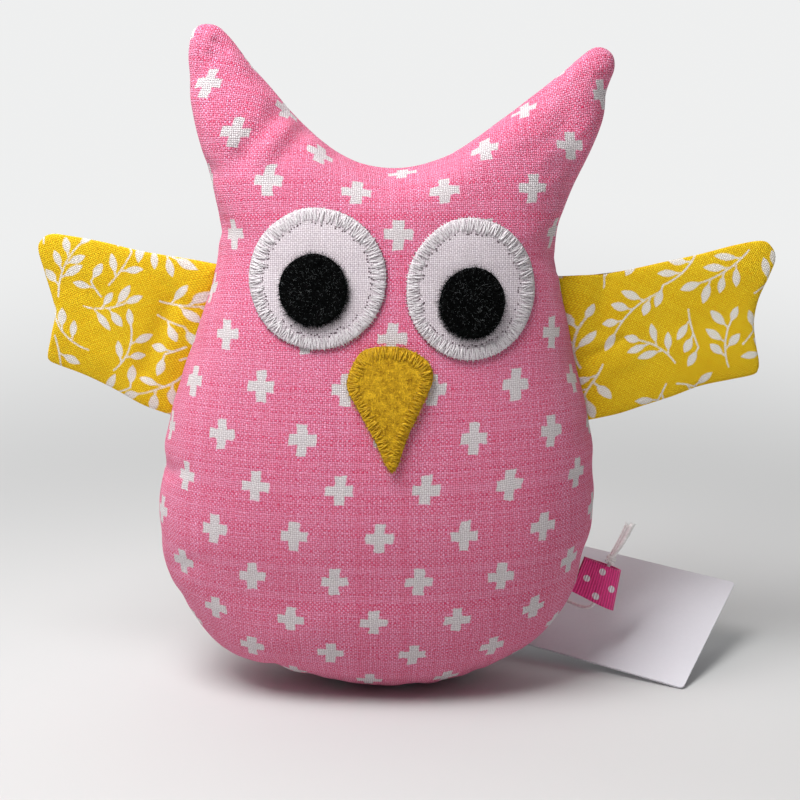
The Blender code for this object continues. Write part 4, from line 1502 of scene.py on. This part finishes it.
def make_eye(front, stock, side, shares, white_size, pupil_size, shift, seed):
    """Make one eye: its white, its pupil, and the stitches round both."""
    middle = seam_place(shares)
    skin = surface_tree(front)
    outline = uneven_outline(ellipse_outline(white_size, WHITE_POINTS), WHITE_WAVE, seed)
    white = lay_patch(side + "_eye_white_cotton", outline, middle, skin, EYE_CLOTH, EYE_PUFF,
                      stock["white_cotton"])
    store_bake_map(white.data)
    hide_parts(side + "_eye_white")
    both = surface_tree(front, white)
    satin, inner = make_zigzag(side + "_eye_stitches", outline, middle, SATIN_BAND, SATIN_PITCH, both,
                               seed + 1, SATIN_OVERHANG, SATIN_THREAD, stock["white_thread"])
    # Painted shade in the needle holes inside the satin band
    painted_hole_shade = paint_needle_hole_shade(side + "_eye_painted_needle_shade", inner, middle, surface_tree(white),
                               stock["dark_needle_shade"], seed + 5)
    middle = (middle[0] + shift[0], middle[1] + shift[1])
    outline = uneven_outline(ellipse_outline(pupil_size, PUPIL_POINTS), PUPIL_WAVE, seed + 2)
    pupil = lay_patch(side + "_pupil_felt", outline, middle, surface_tree(white), FELT_THICKNESS, PUPIL_PUFF,
                      stock["black_felt"], PUPIL_RINGS)
    store_bake_map(pupil.data)
    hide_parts(side + "_pupil")
    over = surface_tree(white, pupil)
    ring, _ = make_zigzag(side + "_pupil_stitches", outline, middle, FELT_BAND, FELT_PITCH, over,
                          seed + 3, PUPIL_OVERHANG, PUPIL_THREAD, stock["black_thread"])
    fuzz = felt_fuzz(side + "_pupil_fuzz", outline, middle, over, PUPIL_FUZZ,
                     stock["black_thread"], seed + 4)
    specks = felt_fuzz(side + "_pupil_specks", outline, middle, over, PUPIL_SPECKS,
                       stock["grey_fibre"], seed + 6)
    for piece in (white, satin, painted_hole_shade, pupil, ring, fuzz, specks):
        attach(piece, "body")


def make_beak(front, stock, seed):
    """Make the felt beak and the zigzag round it."""
    middle = seam_place(BEAK_MIDDLE_SHARES)
    corners = [(across * BEAK_SIZE[0] / 2, up * BEAK_SIZE[1]) for across, up in BEAK_SHARES]
    outline = uneven_outline(smooth_rows(corners, BEAK_STEPS, True), BEAK_WAVE, seed)
    beak = lay_patch("beak_felt", outline, middle, surface_tree(front), FELT_THICKNESS, BEAK_PUFF,
                     stock["mustard_felt"])
    store_bake_map(beak.data)
    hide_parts("beak")
    both = surface_tree(front, beak)
    zigzag, _ = make_zigzag("beak_stitches", outline, middle, BEAK_BAND, FELT_PITCH, both,
                            seed + 2, BEAK_OVERHANG, BEAK_THREAD, stock["mustard_thread"])
    fuzz = felt_fuzz("beak_fuzz", outline, middle, both, BEAK_FUZZ,
                     stock["mustard_thread"], seed + 3)
    for piece in (beak, zigzag, fuzz):
        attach(piece, "body")


# Wings

def leaf_distance(points, middle, heading, length, width):
    """Return how far points lie outside a pointed leaf."""
    along_way = np.array([math.cos(heading), math.sin(heading)])
    across_way = np.array([-along_way[1], along_way[0]])
    away = points - np.array(middle)
    along = away @ along_way / (length / 2)
    across = np.abs(away @ across_way)
    side = across - width / 2 * np.maximum(1 - along ** 2, -1.0)
    beyond = (np.abs(along) - 1) * length / 2
    return np.maximum(side * LEAF_SLOPE, beyond)


def line_distance(points, line, width):
    """Return how far points lie outside a thin drawn line."""
    nearest = np.full(len(points), FARTHEST_PRINT)
    for start, end in zip(line, line[1:]):
        start, end = np.array(start), np.array(end)
        run = end - start
        part = np.clip((points - start) @ run / (run @ run), 0, 1)
        nearest = np.minimum(nearest, np.linalg.norm(points - start - part[:, None] * run, axis=1))
    return nearest - width / 2


def too_near(points, others, room):
    """Tell whether any point is nearer to the others than it may be."""
    if not len(others):
        return False
    away = np.linalg.norm(np.array(points)[:, None] - np.array(others)[None], axis=2)
    return bool(away.min() < room)


def grow_sprigs(reach, height, seed):
    """Lay out sprigs over a wing: curved stems with leaves that never overlap."""
    dice = random.Random(seed)
    starts = []
    for column in range(int((reach + 2 * EDGE_ROOM) / SPRIG_SPACING) + 1):
        for row in range(int((height + 2 * EDGE_ROOM) / SPRIG_SPACING) + 1):
            starts.append([(place + dice.uniform(-SPRIG_JITTER, SPRIG_JITTER)) * SPRIG_SPACING - EDGE_ROOM
                           for place in (column, row)])
    dice.shuffle(starts)
    stems, leaves, stem_spots, leaf_spots = [], [], [], []
    for start in starts:
        spot = np.array(start)
        if too_near([spot], stem_spots + leaf_spots, LEAF_ROOM):
            continue
        turn = dice.uniform(0, 2 * math.pi)
        bend = math.radians(dice.uniform(-STEM_BEND_DEG, STEM_BEND_DEG))
        steps = dice.randint(*STEM_STEPS)
        stem = [spot]
        turns = [turn]
        for _ in range(steps):
            turn += bend / steps
            spot = spot + np.array([math.cos(turn), math.sin(turn)]) * STEM_STEP
            if too_near([spot], stem_spots + leaf_spots, STEM_ROOM):
                break
            stem.append(spot)
            turns.append(turn)
        if len(stem) < SHORTEST_STEM:
            continue
        grown = []
        wanted = [(len(stem) - 1, 0.0)]
        hand = dice.choice((-1, 1))
        for place in range(FIRST_LEAF, len(stem) - 2, LEAF_EVERY):
            wanted.append((place, hand * math.radians(dice.uniform(*LEAF_LEAN_DEG))))
            hand = -hand
        for place, lean in wanted:
            size = LEAF_LENGTH * dice.uniform(*LEAF_LENGTH_SHARES)
            heading = turns[place] + lean
            way = np.array([math.cos(heading), math.sin(heading)])
            middle = stem[place] + way * (size / 2 + (LEAF_STALK if lean else 0))
            spots = [middle + way * size * share for share in LEAF_SPOT_SHARES]
            if too_near(spots, leaf_spots, LEAF_ROOM) or too_near(spots[2:], stem_spots, STEM_ROOM):
                continue
            leaves.append((middle, heading, size, LEAF_WIDTH * dice.uniform(*LEAF_WIDTH_SHARES)))
            stems.append([stem[place], middle])
            leaf_spots.extend(spots)
            grown.append(place)
        if len(grown) < FEWEST_LEAVES:
            del leaves[len(leaves) - len(grown):]
            del stems[len(stems) - len(grown):]
            del leaf_spots[len(leaf_spots) - len(LEAF_SPOT_SHARES) * len(grown):]
        else:
            stems.append(stem[:max(grown) + 1])
            stem_spots.extend(stem[:max(grown) + 1])
    return stems, leaves


def sprig_distance(points, stems, leaves):
    """Return how far points on a wing lie outside its printed sprigs."""
    nearest = np.full(len(points), FARTHEST_PRINT)
    for stem in stems:
        nearest = np.minimum(nearest, line_distance(points, stem, STEM_WIDTH))
    for middle, heading, size, width in leaves:
        nearest = np.minimum(nearest, leaf_distance(points, middle, heading, size, width))
    return nearest


def wing_matrix(low_shares, high_shares, outward):
    """Return the place of a wing's root, and the root's length."""
    low_x, low_z = seam_place(low_shares)
    high_x, high_z = seam_place(high_shares)
    up = Vector((high_x - low_x, 0, high_z - low_z))
    length = up.length
    up.normalize()
    out = Vector((up.z, 0, -up.x)) * outward
    turn = Matrix((out, up.cross(out), up)).transposed().to_4x4()
    turn.translation = Vector((low_x, 0, low_z)) + out * WING_ROOT_GAP
    return turn, length


def wing_ribs(shares, reach, root_length):
    """Return a wing's ribs from its outline to its spine."""
    spine_start, spine_end = WING_SPINE_SHARES
    rows = []
    outline = smooth_rows(shares, WING_STEPS, False)
    outline += [(0, 1 - step / ROOT_STEPS) for step in range(1, ROOT_STEPS)]
    for out, up in outline:
        x = out * reach
        z = up * root_length
        spine_x = min(max(x, spine_start * reach), spine_end * reach)
        rows.append((x, z, spine_x, root_length / 2, WING_PUFF))
    return rows


def refine_face(mesh, longest):
    """Split the long edges of a face, so that its print is drawn cleanly."""
    soft = bmesh.new()
    soft.from_mesh(mesh)
    for _ in range(PRINT_SPLITS):
        edges = [edge for edge in soft.edges if edge.calc_length() > longest]
        bmesh.ops.subdivide_edges(soft, edges=edges, cuts=1, use_grid_fill=True)
    bmesh.ops.triangulate(soft, faces=[face for face in soft.faces if len(face.verts) > 4])
    soft.to_mesh(mesh)
    soft.free()


def tuck_root(mesh, root, height, seam, facing):
    """Run the root of a wing's face into the body's side seam."""
    places = vertex_places(mesh)
    inward = np.array(root.inverted())
    line = seam @ inward[:3, :3].T + inward[:3, 3]
    near = (np.abs(line[:, 0]) < ROOT_HOLD) & (np.abs(line[:, 2] - height / 2) < height / 2 + ROOT_HOLD)
    line = line[near]
    line = line[np.argsort(line[:, 2])]
    hold = 1 - fade(places[:, 0], 0, ROOT_HOLD)
    corner = np.clip(np.minimum(places[:, 2], height - places[:, 2]) / ROOT_CORNER, 0, 1)
    places[:, 1] = facing * np.maximum(np.abs(places[:, 1]), ROOT_HALF * np.sqrt(corner) * hold)
    places[:, 0] += (np.interp(places[:, 2], line[:, 2], line[:, 0]) - WING_TUCK) * hold
    set_places(mesh, places)


def bend_wing(mesh, folds, outward):
    """Press soft folds through a wing's face, and leave its root flat."""
    places = vertex_places(mesh)
    press = fold_depths(places[:, [0, 2]], folds) * fade(places[:, 0], *FOLD_FREE_RUN)
    places[:, 1] += press * outward
    set_places(mesh, places)


def make_wing_fill(name, ribs, reach, height, material):
    """Make the thin wadding inside a wing."""
    soft = bmesh.new()
    for facing in (-1, 1):
        mesh, _ = pillow_panel(name, ribs, FILL_RINGS, FILL_ROUNDNESS, facing)
        soft.from_mesh(mesh)
        bpy.data.meshes.remove(mesh)
    bmesh.ops.remove_doubles(soft, verts=soft.verts, dist=MERGE_REACH)
    mesh = finish_mesh(soft, name)
    places = vertex_places(mesh)
    places[:, 0] = FILL_START_SHARE * reach + FILL_REACH_SHARE * places[:, 0]
    places[:, 1] *= FILL_DEPTH_SHARE
    places[:, 2] = height / 2 + FILL_HEIGHT_SHARE * (places[:, 2] - height / 2)
    set_places(mesh, places)
    return add_piece(name, mesh, material)


def make_wing(seam, stock, side, shares, reach, low_shares, high_shares, outward, folds, seed):
    """Make one wing: two printed faces sewn together and turned out."""
    root, height = wing_matrix(low_shares, high_shares, outward)
    ribs = wing_ribs(shares, reach, height)
    body_name = side + "_wing"
    spin = turn_matrix(WEAVE_TURN)
    for face_name, facing in (("front", -outward), ("back", outward)):
        name = side + "_wing_" + face_name
        mesh, _ = pillow_panel(name + "_cotton", ribs, WING_RINGS, WING_ROUNDNESS, facing)
        refine_face(mesh, PRINT_STEP)
        flat = vertex_places(mesh)[:, [0, 2]]
        distances = mesh.attributes.new("sprig_distance", "FLOAT", "POINT")
        stems, leaves = grow_sprigs(reach, height, seed + (facing == outward))
        distances.data.foreach_set("value", sprig_distance(flat, stems, leaves).astype(np.float32))
        store_map(mesh, "cut", (flat @ spin.T)[corner_vertices(mesh)])
        store_bake_map(mesh)
        bend_wing(mesh, folds, outward)
        tuck_root(mesh, root, height, seam, facing)
        mesh.transform(root)
        piece = add_piece(name + "_cotton", mesh, stock["yellow_cotton"])
        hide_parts(name)
        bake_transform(piece)
    fill = make_wing_fill(side + "_wing_fill", ribs, reach, height, stock["fibrefill"])
    fill.data.transform(root)
    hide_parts(side + "_wing_wadding")
    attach(fill, body_name)


# Ribbon, string and card

def right_seam_x(height):
    """Return the X of the side seam on the right of the belly at a height."""
    ribs = body_ribs(FRONT_DEPTH)
    for upper, lower in zip(ribs, ribs[1:]):
        if upper[0] > BODY_MIDDLE_X and upper[1] >= height > lower[1] and height < BODY_HEIGHT / 2:
            part = (upper[1] - height) / (upper[1] - lower[1])
            return upper[0] + (lower[0] - upper[0]) * part
    return BODY_MIDDLE_X + BODY_WIDTH / 2


def make_ribbon(stock):
    """Make the folded ribbon loop in the right side seam."""
    low, high = (Vector((right_seam_x(height), 0, height))
                 for height in (RIBBON_HEIGHT - RIBBON_WIDTH / 2, RIBBON_HEIGHT + RIBBON_WIDTH / 2))
    up = (high - low).normalized()
    out = Vector((up.z, 0, -up.x))
    layer = [(along * RIBBON_REACH, aside * RIBBON_OPENING / 2) for along, aside in RIBBON_SHARES]
    loop = layer + [(RIBBON_REACH, 0)] + [(x, -y) for x, y in reversed(layer)]
    path = np.array(smooth_rows(loop, RIBBON_BEND_STEPS, False))
    along = np.concatenate([[0], np.cumsum(np.linalg.norm(np.diff(path, axis=0), axis=1))])
    soft = bmesh.new()
    uv = soft.loops.layers.uv.new("cut")
    rows = []
    flat = {}
    for step in range(RIBBON_STEPS + 1):
        height = (step / RIBBON_STEPS - 0.5) * RIBBON_WIDTH
        row = []
        for (x, y), run in zip(path, along):
            vertex = soft.verts.new((x, y, height))
            flat[vertex] = (run, height)
            row.append(vertex)
        rows.append(row)
    for lower, upper in zip(rows, rows[1:]):
        for index in range(len(path) - 1):
            face = soft.faces.new((lower[index], lower[index + 1], upper[index + 1], upper[index]))
            for corner in face.loops:
                corner[uv].uv = flat[corner.vert]
    mesh = finish_mesh(soft, "ribbon_loop_ribbed")
    store_bake_map(mesh)
    places = vertex_places(mesh)
    droop = np.clip(0.5 - places[:, 2] / RIBBON_WIDTH, 0, 1) * np.clip(places[:, 0] / RIBBON_REACH, 0, 1)
    places[:, 0] += droop * RIBBON_SAG_OUT
    places[:, 2] -= droop * RIBBON_SAG_DOWN
    set_places(mesh, places)
    turn = Matrix((out, up.cross(out), up)).transposed().to_4x4()
    turn.translation = (low + high) / 2 + out * RIBBON_ROOT_GAP
    mesh.transform(turn)
    ribbon = add_piece("ribbon_loop_ribbed", mesh, stock["ribbon"])
    thick = ribbon.modifiers.new("Ribbon thickness", "SOLIDIFY")
    thick.thickness = RIBBON_THICKNESS
    thick.offset = 0
    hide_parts("ribbon_loop")
    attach(ribbon, "body")


def add_cord_curve(name, points, diameter, material):
    """Make a smooth round cord as a curve of one open line."""
    curve = bpy.data.curves.new(name, "CURVE")
    curve.dimensions = "3D"
    curve.bevel_depth = diameter / 2
    curve.bevel_resolution = 3
    curve.use_fill_caps = True
    line = curve.splines.new("POLY")
    line.points.add(len(points) - 1)
    for point, place in zip(line.points, points):
        point.co = (*place, 1)
    curve.materials.append(material)
    piece = add_object(name, curve)
    return piece


def make_knot(name, place, way, stock):
    """Tie a small round knot of a few turns of string."""
    way = Vector(way).normalized()
    side = way.orthogonal().normalized()
    other = way.cross(side)
    line = []
    for step in range(KNOT_STEPS + 1):
        part = step / KNOT_STEPS
        turn = part * KNOT_TURNS * 2 * math.pi
        reach = KNOT_DIAMETER * KNOT_REACH_SHARE * (1 + KNOT_SWELL_SHARE * math.cos(turn * KNOT_WAVES))
        drop = (0.5 - part) * KNOT_DIAMETER * KNOT_LENGTH_SHARE
        drop += KNOT_SWELL_SHARE * KNOT_DIAMETER * math.sin(turn / 2)
        line.append(Vector(place) + side * math.cos(turn) * reach + other * math.sin(turn) * reach
                    + way * drop)
    thickness = STRING_DIAMETER * KNOT_STRING
    return thread_tubes(name, [line], thickness, stock["string"], KNOT_SIDES)


def fray_tip(line, dice):
    """Return short fibres that stand out of the tip of a tail."""
    tip = line[-1]
    way = (tip - line[-4]).normalized()
    fibres = []
    for _ in range(FRAY_COUNT):
        turn = random_way(dice)
        lean = (way + turn * FRAY_LEAN).normalized()
        reach = dice.uniform(*FRAY_LENGTHS)
        base = tip + turn * FRAY_SPREAD - way * FRAY_ROOT
        fibres.append([base, base + lean * reach * 0.5, base + (lean + turn * FRAY_CURL) * reach])
    return fibres


def make_string(stock):
    """Make the string, its two knots and its frayed tails."""
    samples = smooth_rows(STRING_ROUTE, STRING_STEPS, False)
    start = TAIL_KNOT_INDEX * STRING_STEPS
    end = CARD_KNOT_INDEX * STRING_STEPS
    route = samples[start:end + 1]
    string = add_cord_curve("tag_string_cord", route, STRING_DIAMETER, stock["string"])
    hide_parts("tag_string")
    way = Vector(samples[start + 1]) - Vector(samples[start - 1])
    knot = make_knot("string_tail_knot", samples[start], way, stock)
    stop = make_knot("string_card_knot", samples[end], (0, 0, 1), stock)
    tails = []
    top = samples[:start + 1][::-1]
    for hand in (-1, 1):
        line = []
        for index, place in enumerate(top):
            part = index / (len(top) - 1)
            spread = TAIL_SPREAD * hand * (TAIL_START_SHARE + TAIL_WIDENING * part)
            line.append(Vector(place) + spread * min(1, part * TAIL_PARTING))
        tails.append(line)
    thickness = STRING_DIAMETER * TAIL_SWELL
    tail = thread_tubes("string_tails", tails, thickness, stock["string"], TAIL_SIDES)
    dice = random.Random(STRING_SEED)
    frays = [fibre for line in tails for fibre in fray_tip(line, dice)]
    fray = thread_tubes("string_frays", frays, FRAY_WIDTH, stock["string"], FIBRE_SIDES)
    for piece in (string, knot, stop, tail, fray):
        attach(piece, "body")


# Room, light and camera

def floor_material():
    """Pale floor that fades into a backdrop with its own even glow."""
    material, tree, shader = start_material("pale_floor", 0.9, specular=0.0)
    away = add_node(tree, "ShaderNodeVectorMath", [object_place(tree)], operation="LENGTH").outputs["Value"]
    part = ramp_between(tree, away, *FLOOR_FADE, smooth=True)
    tree.links.new(mix_colours(tree, part, FLOOR_COLOUR, BLACK), shader.inputs["Base Color"])
    tree.links.new(mix_colours(tree, part, BLACK, BACKDROP_COLOUR), shader.inputs["Emission Color"])
    shader.inputs["Emission Strength"].default_value = 1.0
    return material


def make_floor():
    """Lay a pale floor that sweeps up behind the owl."""
    soft = bmesh.new()
    profile = [(-FLOOR_REACH, 0)]
    for step in range(BACKDROP_STEPS + 1):
        turn = math.pi / 2 * step / BACKDROP_STEPS
        back = BACKDROP_START + BACKDROP_BEND * math.sin(turn)
        profile.append((back, BACKDROP_BEND * (1 - math.cos(turn))))
    profile.append((BACKDROP_START + BACKDROP_BEND, FLOOR_REACH))
    left, right = ([soft.verts.new((x, y, z)) for y, z in profile] for x in (-FLOOR_REACH, FLOOR_REACH))
    for index in range(len(profile) - 1):
        soft.faces.new((left[index], right[index], right[index + 1], left[index + 1]))
    mesh = finish_mesh(soft, "floor")
    mesh.shade_smooth()
    mesh.materials.append(floor_material())
    floor = add_object("floor", mesh)


def make_light():
    """Light the owl softly from above and from all round, before a pale backdrop."""
    world = bpy.data.worlds.new("studio")
    bpy.context.scene.world = world
    world.use_nodes = True
    tree = world.node_tree
    tree.nodes.clear()
    light_path = tree.nodes.new("ShaderNodeLightPath")
    seen = reckon(tree, "MAXIMUM", light_path.outputs["Is Camera Ray"],
                  reckon(tree, "MAXIMUM", light_path.outputs["Is Glossy Ray"],
                         light_path.outputs["Is Transmission Ray"]))
    ambient = add_node(tree, "ShaderNodeBackground", {"Color": AMBIENT_COLOUR, "Strength": AMBIENT})
    backdrop = add_node(tree, "ShaderNodeBackground", {"Color": BACKDROP_COLOUR, "Strength": 1.0})
    mixed = add_node(tree, "ShaderNodeMixShader", [seen, ambient.outputs[0], backdrop.outputs[0]])
    leave = tree.nodes.new("ShaderNodeOutputWorld")
    tree.links.new(mixed.outputs[0], leave.inputs["Surface"])
    for name, (place, size, power, aim) in LAMPS.items():
        lamp = bpy.data.lights.new(name, "AREA")
        lamp.size = size
        lamp.energy = power
        aim_from(add_object(name, lamp), place, aim)


def aim_from(holder, place, aim):
    """Put a lamp or a camera at a place and turn it to what it is aimed at."""
    holder.location = place
    holder.rotation_euler = (Vector(aim) - Vector(place)).to_track_quat("-Z", "Y").to_euler()


def make_camera():
    """Set the camera at the photograph's viewing angle."""
    lens = bpy.data.cameras.new("camera")
    lens.lens = CAMERA_LENS_MM
    lens.sensor_width = CAMERA_SENSOR_MM
    lens.clip_start = CAMERA_NEAR
    camera = add_object("camera", lens)
    aim_from(camera, CAMERA_PLACE, CAMERA_AIM)
    bpy.context.scene.camera = camera


def main():
    """Dress the owl."""
    make_camera()
    make_floor()
    make_light()
    weave = plain_weave_group()
    felt = felt_group()
    stock = {
        "pink_cotton": pink_cotton_material(weave, crosses_group()),
        "white_cotton": white_cotton_material(weave),
        "yellow_cotton": yellow_cotton_material(weave),
        "ribbon": ribbon_material(),
        "fibrefill": fibrefill_material(),
    }
    for name, values in FELTS.items():
        stock[name] = felt_material(felt, *values)
    for name, values in THREADS.items():
        stock[name] = thread_material(*values)
    make_string(stock)
    front, seam = make_body(stock["pink_cotton"], stock["fibrefill"])
    for side, values in EYES.items():
        make_eye(front, stock, side, *values)
    make_beak(front, stock, BEAK_SEED)
    for side, values in WINGS.items():
        make_wing(seam, stock, side, *values)
    make_ribbon(stock)
    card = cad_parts["swing_card"]
    card.data.materials.clear()
    card.data.materials.append(paper_material())
    bpy.context.scene.view_settings.view_transform = "Standard"


main()
